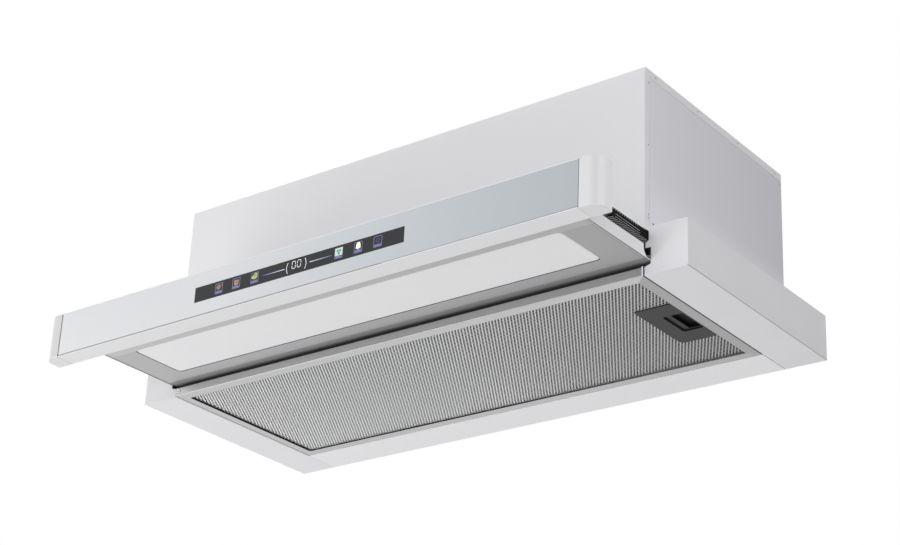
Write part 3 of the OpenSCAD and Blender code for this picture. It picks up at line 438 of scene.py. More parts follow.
SEAM = 0.3
SHADE_STRIP_H = 0.5
strip_low, strip_high = span("base_rear")
# Painted shade: a black strip in the seam at the strip's right end.
put("seam_shade_strip", blocks("seam_shade_strip", [
    ((strip_high.x + SEAM / 2, (strip_low.y + strip_high.y) / 2, 0.3),
     (SEAM, strip_high.y - strip_low.y - 2, SHADE_STRIP_H))]), "hood", gap_black)

# ---------------------------------------------------------------- slides
# Three part telescopic slides of black coated steel, on nylon glides. The
# middle members show between the visor and the base. They are ribbed on the
# underside and along the top. The ribs and the inner members are painted
# lighter for the light on them, and painted highlights run beside the grooves.

DRAWN = (6, 0.4, 6)
BRUSHED = (1, 0.1, 1)
black_steel = Finish("black_slide_coat", 0.005, 0.5, Specular_IOR_Level=0.05)
black_steel.give(Roughness=black_steel.noise(3, 3.0, DRAWN) * 0.3 + 0.3)
black_steel.bump(black_steel.noise(0.5, 2.0, BRUSHED), 0.01)
# A lighter copy of the black coat, for the inner members and the top ribs: painted light.
lit_slide_steel = grained("grey_slide_coat", (0.30, 0.30, 0.302), 0.5, tone=(0.7, 3, 3.0, DRAWN),
                     grain=(0.01, 0.5, 2.0, BRUSHED), Specular_IOR_Level=0.2)
nylon = grained("black_nylon", (0.02, 0.02, 0.021), 0.5, tone=(0.9, 5, 2.0),
                grain=(0.01, 0.8, 2.0), Specular_IOR_Level=0.2)
dress(black_steel, "black_steel", "slide_outer_left", "slide_outer_right", "slide_mid_left",
      "slide_mid_right")
dress(lit_slide_steel, "black_steel", "slide_inner_left", "slide_inner_right")
dress(bright_zinc, "zinc", "slide_bracket_left", "slide_bracket_right")
dress(nylon, "nylon", "glides_fixed", "glides_mid", "glides_inner")

RIB_PITCH = 3.2
RIB_W = 1.6
RIB_H = 0.2
RIB_TURN = 14
RIB_START = 1
RIB_STOP = 5
RIB_SHORT = 0.7
SUNK = 0.02
TOP_BAND = 1.35
LINE_FROM = 4
LINE_END = -64.0
LINE_SIZE = (0.12, 0.32)
# A light grey for the ribs under the black middle members: painted light.
lit_rib_grey = grained("rib_coat", (0.62, 0.62, 0.625), 0.5, tone=(0.7, 6, 2.0),
                   grain=(0.01, 0.5, 2.0), Specular_IOR_Level=0.3)
mid_low, mid_high = span("slide_mid_right")
ribs = Pattern("slide_ribs", {"Length": 1 * MM, "Width": RIB_W * MM, "Height": RIB_H * MM})
ribs.at_points(ribs.add("GeometryNodeMeshCube", None, {
    "Size": ribs.spot(ribs["Length"], ribs["Width"], ribs["Height"])}))
ribbed = mid_high.y - mid_low.y - RIB_START - RIB_STOP
rib_y = [mid_low.y + RIB_START + i * RIB_PITCH for i in range(int(ribbed / RIB_PITCH))]
ribs.sizes["Length"] = (mid_high.x - mid_low.x - RIB_SHORT) * MM
put("slide_ribs_under", ribs.run("slide_ribs_under", [
    ((side * (mid_low.x + mid_high.x) / 2, y, mid_low.z - RIB_H / 2 + SUNK), (0, 0, side * RIB_TURN))
    for side in (-1, 1) for y in rib_y
], lit_rib_grey), "slide_middle", None)
ribs.sizes["Length"] = TOP_BAND * MM
put("slide_ribs_top", ribs.run("slide_ribs_top", [
    ((side * (mid_high.x + RIB_H / 2 - SUNK), y, mid_high.z - TOP_BAND / 2 - 0.1), (0, 90, 0))
    for side in (-1, 1) for y in rib_y if y < LINE_END
], lit_slide_steel), "slide_middle", None)

# Painted highlights: bright lines beside the grooves on the middle members.
groove_highlight = grained("worn_edge", (0.6, 0.6, 0.61), 0.4, tone=(0.6, 20, 3.0),
                     grain=(0.01, 0.5, 2.0), Metallic=0.2)
put("slide_lines", blocks("slide_lines", [
    ((side * mid_high.x, (mid_low.y + LINE_FROM + LINE_END) / 2,
      mid_low.z + share * (mid_high.z - mid_low.z)),
     (LINE_SIZE[0], LINE_END - mid_low.y - LINE_FROM, LINE_SIZE[1]))
    for side in (-1, 1) for share in (0.12, 0.42)
]), "slide_middle", groove_highlight)

# ---------------------------------------------------------------- visor
# A hollow front profile with a pane of back painted glass let into it, and
# a glossy moulded cap on each end with a rounded corner. Dark strips under
# the pane and at its ends are painted shade for the gap around it.

VISOR_R = 0.3
white_profile = paint("visor_lacquer", (0.85, 0.85, 0.855), 0.32, 1.6, 0.004)
softened("front_profile", "visor_profile", "visor", white_profile, VISOR_R)

# The two caps are one plastic. Painted shade darkens the front faces, the left cap's more than the right's,
# and a painted highlight brightens the right cap's outer side. The undersides keep the profile's tone.
for side, tone in (("left", 0.70), ("right", 0.77)):
    cap_plastic = Finish(f"white_plastic_{side}", (tone, tone, tone * 1.006), 0.34,
                         Specular_IOR_Level=0.35)
    skin_with_painted_light = cap_plastic.blend(cap_plastic.ramp("X", 295.5, 298.5), cap_plastic.colour,
                             (0.93, 0.93, 0.935))
    skin_with_painted_light = cap_plastic.blend(cap_plastic.ramp("Z", 0.5, 2.0), (0.81, 0.81, 0.815), skin_with_painted_light)
    cap_plastic.give(Base_Color=cap_plastic.blend(cap_plastic.noise(40, 2.0) * 0.03, skin_with_painted_light, 0.5))
    cap_plastic.bump(cap_plastic.noise(6, 1.0), 0.01)
    softened(f"end_cap_{side}", f"visor_cap_{side}", "visor", cap_plastic, VISOR_R, 3)

# Painted reflection: the back paint is made bluer and darker to the right, for
# what the glass reflects there. Painted shade: dark lines at both ends and along
# the bottom stand for the gap at the pane's edges.
pane = Finish("back_painted_glass", (0.80, 0.83, 0.86), 0.2, Specular_IOR_Level=0.4)
tone = pane.tones(pane.ramp("X", -282, 282),
                  (0.0, (0.785, 0.79, 0.805)), (0.35, (0.765, 0.775, 0.79)),
                  (0.7, (0.595, 0.625, 0.65)), (1.0, (0.47, 0.505, 0.53)))
tone = pane.blend(pane.noise(90, 2.0) * 0.04, tone, (0.7, 0.72, 0.75))
glass_low, glass_high = span("glass_fascia")
# Painted shade lines at the pane's edges, the bottom one fainter to the right.
painted_shade_fading = pane.ramp("X", -250, 250, 0.6, 0.3)
line = 0.0
for axis, edge, inner, share in (("X", glass_low.x, 1.4, 0.75), ("X", glass_high.x, -0.35, 0.6),
                                 ("Z", glass_low.z, 0.9, painted_shade_fading)):
    line = pane.ramp(axis, edge + inner, edge + inner * 0.75) * share + line
pane.give(Base_Color=pane.blend(line, tone, (0.12, 0.12, 0.125)))
pane.bump(pane.noise(70, 1.0), 0.01)
softened("glass_fascia", "glass_pane", "visor", pane, 0.25)

NOTCH = 1.2
GAP_SHADE_D = 1.16
GAP_SHADE_Y = glass_low.y + 0.6
GAP_SHADE_H = 0.85
# Dark grey blocks in the gap under the pane, at its ends and in its corners: painted shade.
gap_shade = grained("pane_seal", (0.10, 0.10, 0.105), 0.6, tone=(0.8, 30, 2.0), grain=(0.01, 1, 2.0))
glass_z = (glass_low.z + glass_high.z) / 2
glass_h = glass_high.z - glass_low.z
put("pane_seal", blocks("pane_seal", [((x, GAP_SHADE_Y, z), (width, GAP_SHADE_D, height)) for x, z, width, height in (
    (glass_low.x, glass_low.z, NOTCH, NOTCH),
    (glass_high.x, glass_low.z, NOTCH, NOTCH),
    (glass_high.x, glass_high.z, NOTCH, NOTCH),
    (glass_low.x - 0.15, glass_z, 0.8, glass_h),
    (glass_high.x + 0.15, glass_z, 0.5, glass_h),
    (glass_low.x / 3, glass_low.z, -glass_low.x * 4 / 3, GAP_SHADE_H))]), "visor", gap_shade)

rubber = grained("bumper_rubber", 0.03, 0.8, tone=(0.8, 3, 3.0), grain=(0.03, 0.5, 3.0))
dress(rubber, "rubber", "bumpers")

# ---------------------------------------------------------------- display
# A smoked window flush in the glass. Behind it six lit tiles with plain
# signs and label bars, two number digits between brackets, and two lines.

SKIN = 0.04
SET_BACK = 0.15
window_low, window_high = span("display_window")
window_low.y += SET_BACK
panel_y = window_low.y
smoked = grained("smoked_window", (0.014, 0.015, 0.018), 0.12, tone=(0.9, 30, 2.0),
                 grain=(0.01, 40, 1.0), Specular_IOR_Level=0.4)
panel = blocks("display_panel", [((window_low + window_high) / 2, window_high - window_low)])
put("display_panel", rounded(panel, 0.2), "visor", smoked, "display_window")


def lit(name, colour, glow):
    """Printed film lit from behind, a little uneven."""
    film = Finish(name, colour, 0.35, Emission_Strength=glow)
    mask = film.noise(1.2, 2.0)
    film.shade(mask, 0.8)
    film.give(Emission_Color=film.blend(mask, tuple(c * 0.8 for c in colour), colour))
    return film


def plates(name, outlines, finish, lift=1):
    """Flat shapes in X and Z on the window, each a thin plate facing the front."""
    shape = bmesh.new()
    front = panel_y - SKIN * lift
    for outline in outlines:
        area = sum(a[0] * b[1] - b[0] * a[1] for a, b in zip(outline, outline[1:] + outline[:1]))
        outline = outline if area > 0 else outline[::-1]
        near = [shape.verts.new((x * MM, front * MM, z * MM)) for x, z in outline]
        far = [shape.verts.new((x * MM, (panel_y + SUNK) * MM, z * MM)) for x, z in outline]
        shape.faces.new(near)
        for i, vert in enumerate(near):
            j = (i + 1) % len(near)
            shape.faces.new((vert, far[i], far[j], near[j]))
    bmesh.ops.recalc_face_normals(shape, faces=shape.faces)
    return put(name, made(shape, name), "visor", finish)


def box2(x0, z0, x1, z1):
    return [(x0, z0), (x1, z0), (x1, z1), (x0, z1)]


def round2(x, z, rx, rz=None, start=0, end=360, count=14):
    """An ellipse, or a part of one."""
    steps = count if end - start >= 360 else count + 1
    angles = [math.radians(start + (end - start) * i / count) for i in range(steps)]
    return [(x + rx * math.cos(a), z + (rz or rx) * math.sin(a)) for a in angles]


def stroke(points, width):
    """A line of short bars along the points."""
    bars = []
    for (x0, z0), (x1, z1) in zip(points, points[1:]):
        length = math.hypot(x1 - x0, z1 - z0)
        nx, nz = (z0 - z1) / length * width / 2, (x1 - x0) / length * width / 2
        bars.append([(x0 - nx, z0 - nz), (x1 - nx, z1 - nz), (x1 + nx, z1 + nz), (x0 + nx, z0 + nz)])
    return bars


TILE_X = (-85.3, -65.4, -44.5, 47.6, 68.1, 88.5)
TILE_HALF = 4.1
TILE_Z = (17.0, 26.2)
LABEL_H = 2.4
FRAME_W = 0.35
DASH_PITCH = 1.7
DASH_Z = (17.95, 18.6)
violet = lit("violet_film", (0.11, 0.10, 0.33), 0.28)
frame_film = lit("frame_film", (0.26, 0.24, 0.42), 0.28)
pale_violet = lit("pale_violet_film", (0.34, 0.32, 0.55), 0.3)
frames, labels, dashes = [], [], []
for x in TILE_X:
    corners = box2(x - TILE_HALF, TILE_Z[0], x + TILE_HALF, TILE_Z[1])
    frames += stroke(corners + corners[:1], FRAME_W)
    labels.append(box2(x - TILE_HALF + 0.3, TILE_Z[0] + 0.2, x + TILE_HALF - 0.3, TILE_Z[0] + LABEL_H))
    dashes += [box2(x - 2.4 + i * DASH_PITCH, DASH_Z[0], x - 1.4 + i * DASH_PITCH, DASH_Z[1])
               for i in range(3)]
plates("tile_frames", frames, frame_film, 3)
plates("tile_labels", labels, violet)
plates("label_dashes", dashes, pale_violet, 2)

mid_z = (TILE_Z[0] + LABEL_H + TILE_Z[1]) / 2
x = TILE_X[0]
plates("sign_warm", [round2(x - 0.6, mid_z, 2.6),
                     *stroke([(x + 1.8, mid_z + 0.6), (x + 4, mid_z + 2)], 0.9)],
       lit("warm_film", (0.24, 0.13, 0.10), 0.4))
x = TILE_X[1]
plates("sign_amber", [round2(x, mid_z - 0.8, 2.9, 2.4, 180, 360), round2(x - 1.2, mid_z + 0.8, 1.5),
                      round2(x + 1.6, mid_z + 0.5, 1.3)], lit("amber_film", (0.34, 0.20, 0.11), 0.45))
x = TILE_X[2]
plates("sign_leaf", [round2(x - 0.2, mid_z - 0.4, 3.4, 2.1), round2(x + 1.0, mid_z + 1.6, 2.2, 1.5)],
       lit("leaf_film", (0.38, 0.42, 0.14), 0.5))
x = TILE_X[3]
white_film = lit("white_film", (0.80, 0.84, 0.86), 0.55)
plates("sign_fan_ground", [box2(x - TILE_HALF, mid_z - 3.4, x + TILE_HALF, mid_z + 3.4)],
       lit("pale_green_film", (0.50, 0.62, 0.52), 0.5))
plates("sign_fan", [round2(x + 1.5 * math.cos(math.radians(a)), mid_z + 1.5 * math.sin(math.radians(a)),
                           1.2) for a in (30, 150, 270)], lit("green_film", (0.12, 0.30, 0.24), 0.3), 2)
x = TILE_X[4]
plates("sign_lamp", [
    round2(x, mid_z + 0.6, 2.3, 2.9, 0, 180) + [(x - 2.6, mid_z - 2.2), (x + 2.6, mid_z - 2.2)],
    box2(x - 0.9, mid_z - 3.1, x + 0.9, mid_z - 2.4)], lit("cream_film", (0.80, 0.80, 0.64), 0.5))
x = TILE_X[5]
plates("sign_power", [*stroke(round2(x, mid_z, 1.7, None, 130, 410), 0.4),
                      *stroke([(x, mid_z + 0.6), (x, mid_z + 2.3)], 0.4)], violet)

DIGIT_X = (-2.9, 2.9)
DIGIT_Z = 19.6
DIGIT_W = 3.7
DIGIT_H = 6.4
DIGIT_T = 0.52
DIGIT_GAP = 0.12
segments = []
for left in DIGIT_X:
    right = left + DIGIT_W
    corners = [(left, DIGIT_Z), (right, DIGIT_Z), (right, DIGIT_Z + DIGIT_H / 2),
               (right, DIGIT_Z + DIGIT_H), (left, DIGIT_Z + DIGIT_H), (left, DIGIT_Z + DIGIT_H / 2)]
    for (xa, za), (xb, zb) in zip(corners, corners[1:] + corners[:1]):
        dx, dz = (xb - xa) * DIGIT_GAP, (zb - za) * DIGIT_GAP
        segments += stroke([(xa + dx, za + dz), (xb - dx, zb - dz)], DIGIT_T)
plates("digits", segments, white_film)
plates("brackets", [*stroke(round2(0.1, 21.2, 8.9, 9.2, 148, 212, 8), 0.5),
                    *stroke(round2(3.6, 21.2, 8.9, 9.2, -32, 32, 8), 0.5)], white_film)

BEAM_Z = (20.9, 21.4)
beam = Finish("line_film", (0.35, 0.5, 0.85), 0.35, Emission_Strength=0.5)
beam_colour = beam.blend(beam.ramp(abs(beam.axis("X") - 2.5 * MM), 13, 38),
                         (0.72, 0.85, 0.95), (0.06, 0.07, 0.30))
beam.give(Base_Color=beam_colour, Emission_Color=beam_colour)
plates("side_lines", [box2(start, BEAM_Z[0], end, BEAM_Z[1])
                      for start, end in ((-35.6, -11.2), (16.2, 40.4))], beam)

# ---------------------------------------------------------------- light tray
# A shallow tray of silver grey painted sheet behind the glass, white on its
# outer sides. A milky cover closes the lamp board. The rear edge bends up.

FRONT_STRIP = -132.0
REAR_STRIP = -57.2
tray_half = span("light_tray")[1].x
tray_paint = paint("silver_grey_paint", (0.44, 0.44, 0.443), 0.38, 0.9, 0.004)
# Painted light and shade: paler in front of the cover, painted shade on the rear bend,
# painted lighter to the left, painted shade and highlight lines down both ends, and a
# painted shade line at the left end.
tone = tray_paint.tones(tray_paint.ramp("Y", FRONT_STRIP, REAR_STRIP),
                        (0.0, (0.52, 0.52, 0.523)), (0.02, (0.44, 0.44, 0.443)),
                        (0.98, (0.43, 0.43, 0.433)), (1.0, (0.29, 0.29, 0.292)))
painted_light_across = tray_paint.ramp("X", -tray_half, tray_half)
tone = tray_paint.times(tone, tray_paint.blend(painted_light_across, 1.14, 0.97))
painted_end_lines = tray_paint.ramp(abs(tray_paint.axis("X")), tray_half - 3.4, tray_half)
tone = tray_paint.times(tone, tray_paint.tones(
    painted_end_lines, (0.0, 1.0), (0.04, 0.62), (0.16, 0.62), (0.22, 1.1), (0.68, 1.1), (0.74, 0.3), (1.0, 0.3)))
painted_left_shade = tray_paint.ramp("X", -tray_half + 2.2, -tray_half + 1.6)
tray_paint.give(Base_Color=tray_paint.blend(painted_left_shade, tone, 0.08))
tray = softened("light_tray", "tray_sheet", "visor", tray_paint, 0.2)
tray.data.materials.append(paint("tray_side_paint", (0.93, 0.93, 0.94), 0.4).material)
for face in tray.data.polygons:
    if abs(face.center.x) > (tray_half - 0.3) * MM and abs(face.normal.x) > 0.5:
        face.material_index = 1

milky = grained("milky_cover", (0.93, 0.913, 0.915), 0.45, tone=(0.985, 50, 2.0),
                grain=(0.006, 0.7, 1.0), Subsurface_Weight=0.15, Subsurface_Scale=0.004)
softened("diffuser", "lamp_cover", "visor", milky, 0.25)

# Painted shade: a dark line stands for the shade where the sheet steps up to the cover, at its left and
# rear.
COVER_RIM = 3.0
COVER_R = 4.5
LINE_IN = 0.1
LINE_W = 1.05
LINE_Z = (-0.02, 0.05)
cover_low, cover_high = span("diffuser")
left_x = cover_low.x + COVER_RIM + COVER_R
right_x = cover_high.x - COVER_RIM - COVER_R
near_y = cover_low.y + COVER_RIM + COVER_R
far_y = cover_high.y - COVER_RIM - COVER_R
path = [((left_x, near_y), a) for a in (225, 200, 180)]
path += [((left_x, far_y), a) for a in (180, 165, 150, 135, 120, 105, 90)]
path += [((right_x, far_y), a) for a in (90, 75, 60, 45)]
shape = bmesh.new()
rings = []
for (x, y), turn in path:
    out = Vector((math.cos(math.radians(turn)), math.sin(math.radians(turn)), 0))
    rings.append([shape.verts.new((Vector((x, y, cover_low.z + z)) + out * r) * MM) for r, z in (
        (COVER_R - LINE_IN, LINE_Z[0]), (COVER_R + LINE_W, LINE_Z[0]),
        (COVER_R + LINE_W, LINE_Z[1]), (COVER_R - LINE_IN, LINE_Z[1]))])
for a, b in zip(rings, rings[1:]):
    for i in range(4):
        shape.faces.new((a[i], a[(i + 1) % 4], b[(i + 1) % 4], b[i]))
shape.faces.new(rings[0])
shape.faces.new(rings[-1][::-1])
bmesh.ops.recalc_face_normals(shape, faces=shape.faces)
put("cover_line", made(shape, "cover_line"), "visor", rubber)
dress(bright_zinc, "zinc", "tray_lid")

board = Finish("circuit_board", (0.015, 0.10, 0.045), 0.4)
board.give(Base_Color=board.add("ShaderNodeTexBrick", None, {
    "Vector": board.place, "Scale": 60.0, "Mortar Size": 0.03, "Color1": (0.015, 0.10, 0.045, 1),
    "Color2": (0.02, 0.14, 0.06, 1), "Mortar": (0.05, 0.22, 0.10, 1)}))
dress(board, "board", "lamp_board", "touch_board", "control_board")

# ---------------------------------------------------------------- filter
# Four mitred bars of satin anodised aluminium sheet hold a perforated outer
# sheet and a folded inner mesh. The round holes stand in staggered rows.

BAR_R = 0.06
BAR_GAP_Z = 7.45
BAR_END_X = 256.65
bars = {}
# The four bars are one metal. Their tones differ for the light on each, painted light and shade, and the
# rear bar is painted darker to the right.
for side, tone, fold, painted_fall, stretch in (
        ("front", 0.56, 0.55, 0.0, (0.03, 1, 1)), ("rear", 0.52, 1.0, 0.2, (0.03, 1, 1)),
        ("left", 0.55, 1.0, 0.0, (1, 0.03, 1)), ("right", 0.39, 0.7, 0.0, (1, 0.03, 1))):
    satin = Finish(f"anodised_{side}", (tone, tone, tone * 1.005), 0.38, Metallic=0.8)
    # Painted light and shade: bright on the underside, then the painted tone of its fold, then a duller
    # side.
    painted_light_by_face = satin.tones(satin.ramp("Z", 0.3, 2.3), (0.0, tone * 1.12), (0.02, tone * 1.12),
                         (0.04, tone * fold), (0.5, tone * fold), (0.6, tone * 0.88))
    streaks = satin.noise(1.2, 3.0, stretch) * 0.08 + satin.ramp("X", 50, 250, 0.0, painted_fall)
    skin_with_painted_light = satin.blend(streaks, painted_light_by_face, 0.1)
    if side == "front":
        # Painted shadow: a black line along its top stands for the gap there. Painted highlight: the cut
        # end is bright.
        skin_with_painted_light = satin.blend(satin.ramp("Z", BAR_GAP_Z - 0.15, BAR_GAP_Z + 0.15), skin_with_painted_light, 0.02)
        painted_end_highlight = satin.ramp("X", BAR_END_X - 0.15, BAR_END_X + 0.15)
        skin_with_painted_light = satin.blend(painted_end_highlight, skin_with_painted_light, 0.95)
        satin.give(Metallic=0.8 - painted_end_highlight * 0.8)
    satin.give(Base_Color=skin_with_painted_light, Roughness=satin.noise(2, 3.0, stretch) * 0.12 + 0.34)
    softened(f"filter_frame_{side}", f"filter_bar_{side}", "grease_filter", satin, BAR_R)
    bars[side] = satin

HOLE_R = 1.06
HOLE_LONG = 1.22
HOLE_TURN = 122
HOLE_SIDES = 10
PITCH_X = 3.25
ROW = 2.6
WALL = 0.2
LATCH_R = 5.0
LATCH_FRONT_R = 1.5
LATCH_LAP = 1.2
sheet_low, sheet_high = span("filter_mesh_outer")
latch_low, latch_high = span("latch_plate")
perforated = Finish("perforated_aluminium", 0.80, 0.4, Metallic=0.5)
# Painted light: the sheet is lighter to the left, with painted shade towards the rear right.
tone = perforated.tones(perforated.ramp("X", -257, 257), (0.0, 0.98), (0.5, 0.84), (1.0, 0.62))
painted_shade_rear_right = perforated.ramp("X", 0, 257) * perforated.ramp("Y", -40, 140, 0.0, 0.58)
tone = perforated.blend(painted_shade_rear_right, tone, 0.3)
perforated.give(Base_Color=perforated.blend(perforated.noise(12, 2.0) * 0.1, tone, 0.4),
                Roughness=perforated.noise(4, 2.0) * 0.15 + 0.3)
holes = Pattern("perforations", {
    "Pitch": PITCH_X * MM, "Row": ROW * MM, "Hole radius": HOLE_R * MM, "Thickness": WALL * MM})
edge = holes.add("GeometryNodeCurvePrimitiveCircle", {"mode": "RADIUS"},
                 {"Resolution": HOLE_SIDES, "Radius": holes["Hole radius"]})
edge = holes.add("GeometryNodeTransform", None, {
    "Geometry": edge, "Scale": (HOLE_LONG, 1, 1), "Rotation": (0, 0, math.radians(HOLE_TURN))})
cell = holes.add("GeometryNodeCurvePrimitiveQuadrilateral", {"mode": "RECTANGLE"},
                 {"Width": holes["Pitch"], "Height": holes["Row"]})
face = holes.add("GeometryNodeFillCurve", None, {
    "Curve": holes.add("GeometryNodeJoinGeometry", None, {0: [cell, edge]})})
wall = holes.add("GeometryNodeCurveToMesh", None, {
    "Curve": edge, "Profile Curve": holes.add("GeometryNodeCurvePrimitiveLine", None, {
        "Start": holes.spot(), "End": holes.spot(0.0, holes["Thickness"])})})
both = holes.add("GeometryNodeJoinGeometry", None, {0: [face, wall]})
holes.at_points(holes.add("GeometryNodeFlipFaces", None, {0: both}))


def in_latch(x, y, inside):
    """True where the latch plate covers the sheet, less a margin."""
    x0, y0 = latch_low.x + inside, latch_low.y + inside
    y1 = latch_high.y - inside
    if x < x0 or not y0 < y < y1:
        return False
    for r, dy in ((LATCH_FRONT_R, y0 - y), (LATCH_R, y - y1)):
        dx = x0 + r - x
        if dx > 0 and dy + r > 0 and math.hypot(dx, dy + r) > r:
            return False
    return True


columns = int((sheet_high.x - sheet_low.x) / PITCH_X - 0.5)
rows = int((sheet_high.y - sheet_low.y) / ROW)
middle = (sheet_low + sheet_high) / 2
spots = []
for i in range(columns):
    for j in range(rows):
        x = middle.x + (i - (columns - 1) / 2 + (j % 2 - 0.5) / 2) * PITCH_X
        y = middle.y + (j - (rows - 1) / 2) * ROW
        if not in_latch(x, y, LATCH_LAP):
            spots.append(((x, y, sheet_low.z), (0, 0, 0)))
spots.sort(key=lambda spot: spot[0][0])
third = len(spots) // 3
for side, part, node in (("left", spots[:third], "filter_mesh_outer"),
                         ("middle", spots[third:2 * third], None),
                         ("right", spots[2 * third:], None)):
    name = f"perforated_sheet_{side}"
    put(name, holes.run(name, part, perforated), "grease_filter", None, node)

# The folded mesh is painted near black for the shade behind the perforated sheet, and lighter towards the
# rear.
shaded_inner_mesh = Finish("folded_mesh", 0.04, 0.55, Metallic=0.4)
weave = shaded_inner_mesh.add("ShaderNodeTexVoronoi", None, {"Vector": shaded_inner_mesh.place, "Scale": 500.0})
tone = shaded_inner_mesh.blend(shaded_inner_mesh.ramp("Y", -40, 120), 0.008, 0.26)
shaded_inner_mesh.give(Base_Color=shaded_inner_mesh.blend(weave * 0.4, tone, 0.01))
shaded_inner_mesh.bump(weave, 0.2)
dress(shaded_inner_mesh, "aluminium", "filter_mesh_inner")

# Black strips stand for the shade in the gap beside the latch and along the sheet
# at its left and rear: painted shade. The rear one is painted dotted between the last
# holes on the right. A metal one closes the gap on the left.
STRIP_W = 1.8
STRIP_OUT = 0.55
STRIP_H = 0.5
LEFT_W = 2.4
REAR_W = 1.2
bar_low, bar_high = span("filter_frame_right")
bar_y = (bar_low.y + bar_high.y) / 2
bar_length = bar_high.y - bar_low.y - 2
inner_left = span("filter_frame_left")[1].x
inner_rear = span("filter_frame_rear")[0].y
inner_front = span("filter_frame_front")[1].y
rear_gap = Finish("rear_gap", 0.004, 0.8, Specular_IOR_Level=0.05)
dots = rear_gap.add("ShaderNodeMath", {"operation": "SINE"}, {
    0: rear_gap.axis("X") * (4 * math.pi / (PITCH_X * MM))})
rear_gap.give(Base_Color=rear_gap.blend((dots + 1) * rear_gap.ramp("X", 0, 150, 0.0, 0.25),
                                        rear_gap.colour, 0.6))
for name, finish, slot, strips in (
        ("edge_strips", gap_black, "rubber", (
            (bar_high.x + STRIP_OUT - STRIP_W / 2, bar_y, STRIP_W, bar_length, 0.3),
            (inner_left - 0.5, (inner_front + inner_rear) / 2, LEFT_W, inner_rear - inner_front, 0.23))),
        ("rear_strip", rear_gap, "rubber", (
            (0, inner_rear + 0.1, -2 * inner_left, REAR_W, 0.23),)),
        ("edge_filler", bars["left"], "aluminium", (
            (-bar_high.x - STRIP_OUT / 2, bar_y, STRIP_OUT, bar_length, 0.26),))):
    put(name, blocks(name, [((x, y, bar_low.z + z), (width, length, STRIP_H))
                            for x, y, width, length, z in strips]), "grease_filter", finish)

# A white rivet with a hollow middle pins the left end of the front bar.
RIVET_AT = (-254.3, 4.5)
RIVET_PROFILE = ((0.0, 0.12), (0.75, 0.12), (0.95, 0.4), (1.7, 0.5), (2.1, 0.3), (2.2, -0.05))
SHADE_DISCS = ((2.45, 0.04), (0.55, 0.16))
SHADE_DISC_D = 0.2
white_rivet = grained("rivet_plastic", 0.96, 0.25, tone=(0.95, 2, 2.0), grain=(0.01, 1, 1.0))
bar_front = span("filter_frame_front")[0].y
facing = Matrix.Rotation(math.radians(90), 4, "X")


def on_bar(out):
    """Turns a shape to the front, and sets it that far out of the bar."""
    return Matrix.Translation(Vector((RIVET_AT[0], bar_front - out, RIVET_AT[1])) * MM) @ facing


shape = bmesh.new()
loop = [shape.verts.new((r * MM, 0, lift * MM)) for r, lift in RIVET_PROFILE]
edges = [shape.edges.new(pair) for pair in zip(loop, loop[1:])]
bmesh.ops.spin(shape, geom=loop + edges, cent=(0, 0, 0), axis=(0, 0, 1), angle=2 * math.pi, steps=24,
               use_merge=True)
bmesh.ops.remove_doubles(shape, verts=shape.verts, dist=1e-7)
bmesh.ops.transform(shape, verts=shape.verts, matrix=on_bar(0))
bmesh.ops.recalc_face_normals(shape, faces=shape.faces)
mesh = made(shape, "bar_rivet")
mesh.shade_smooth()
put("bar_rivet", mesh, "grease_filter", white_rivet)

# Painted shade: a black ring round the rivet's foot and a black disc in its hollow middle.
shape = bmesh.new()
for radius, out in SHADE_DISCS:
    bmesh.ops.create_cone(shape, cap_ends=True, segments=24, radius1=radius * MM, radius2=radius * MM,
                          depth=SHADE_DISC_D * MM, matrix=on_bar(out - SHADE_DISC_D / 2))
put("rivet_shade", made(shape, "rivet_shade"), "grease_filter", gap_black)

# ---------------------------------------------------------------- latch
# Dark grey moulding let into the filter, with a sprung slider behind a
# window. A fingertip draws the slider to the left.

LATCH_EDGE_R = 0.2
# Painted shade: each moulding turns near black just above its face, for the shade in the window and in the
# finger recess.
for node, name, body, shade_from in (("latch_plate", "latch_moulding", "grease_filter", 0.25),
                              ("latch_slider", "latch_slide", "filter_latch", 0.2)):
    latch_plastic = Finish(f"{name}_plastic", (0.062, 0.062, 0.063), 0.55, Specular_IOR_Level=0.15)
    face_z = span(node)[0].z
    coat = latch_plastic.blend(latch_plastic.noise(20, 3.0) * 0.1, latch_plastic.colour, 0.03)
    latch_plastic.give(Base_Color=latch_plastic.blend(
        latch_plastic.ramp("Z", face_z + shade_from, face_z + shade_from + 0.4), coat, 0.006))
    latch_plastic.bump(latch_plastic.noise(0.35, 2.0), 0.02)
    softened(node, name, body, latch_plastic, LATCH_EDGE_R)

# ---------------------------------------------------------------- blower
# Black moulded scroll in two halves, a grey forward curved wheel on a steel
# shaft, and the motor can in its clamp ring.

black_plastic = grained("black_moulding", (0.025, 0.025, 0.027), 0.45, tone=(0.85, 30, 2.0),
                        grain=(0.02, 0.8, 2.0))
wheel_plastic = grained("wheel_moulding", (0.10, 0.105, 0.11), 0.42, tone=(0.88, 15, 2.0),
                        grain=(0.01, 0.7, 1.0))
motor_steel = grained("motor_can", (0.42, 0.43, 0.45), 0.35, tone=(0.85, 10, 3.0, (0.2, 1, 1)),
                      grain=(0.01, 1, 2.0), Metallic=0.9)
dress(black_plastic, "dark_plastic", "scroll_left", "scroll_right")
dress(wheel_plastic, "dark_plastic", "impeller")
dress(motor_steel, "zinc", "motor")
dress(bright_zinc, "zinc", "motor_bracket")
dress(bright_zinc, "bright_steel", "fan_shaft")

# ---------------------------------------------------------------- duct
# Moulded collar screwed on top, with two half round flaps that fall shut
# when the fan stops.

dress(black_plastic, "dark_plastic", "duct_collar", "flap_left", "flap_right")
dress(bright_zinc, "bright_steel", "collar_screws")

# ---------------------------------------------------------------- electrics
# Pale moulded boxes under the top panel hold the control board and the lamp
# driver. A black gland in the panel is there for the supply.

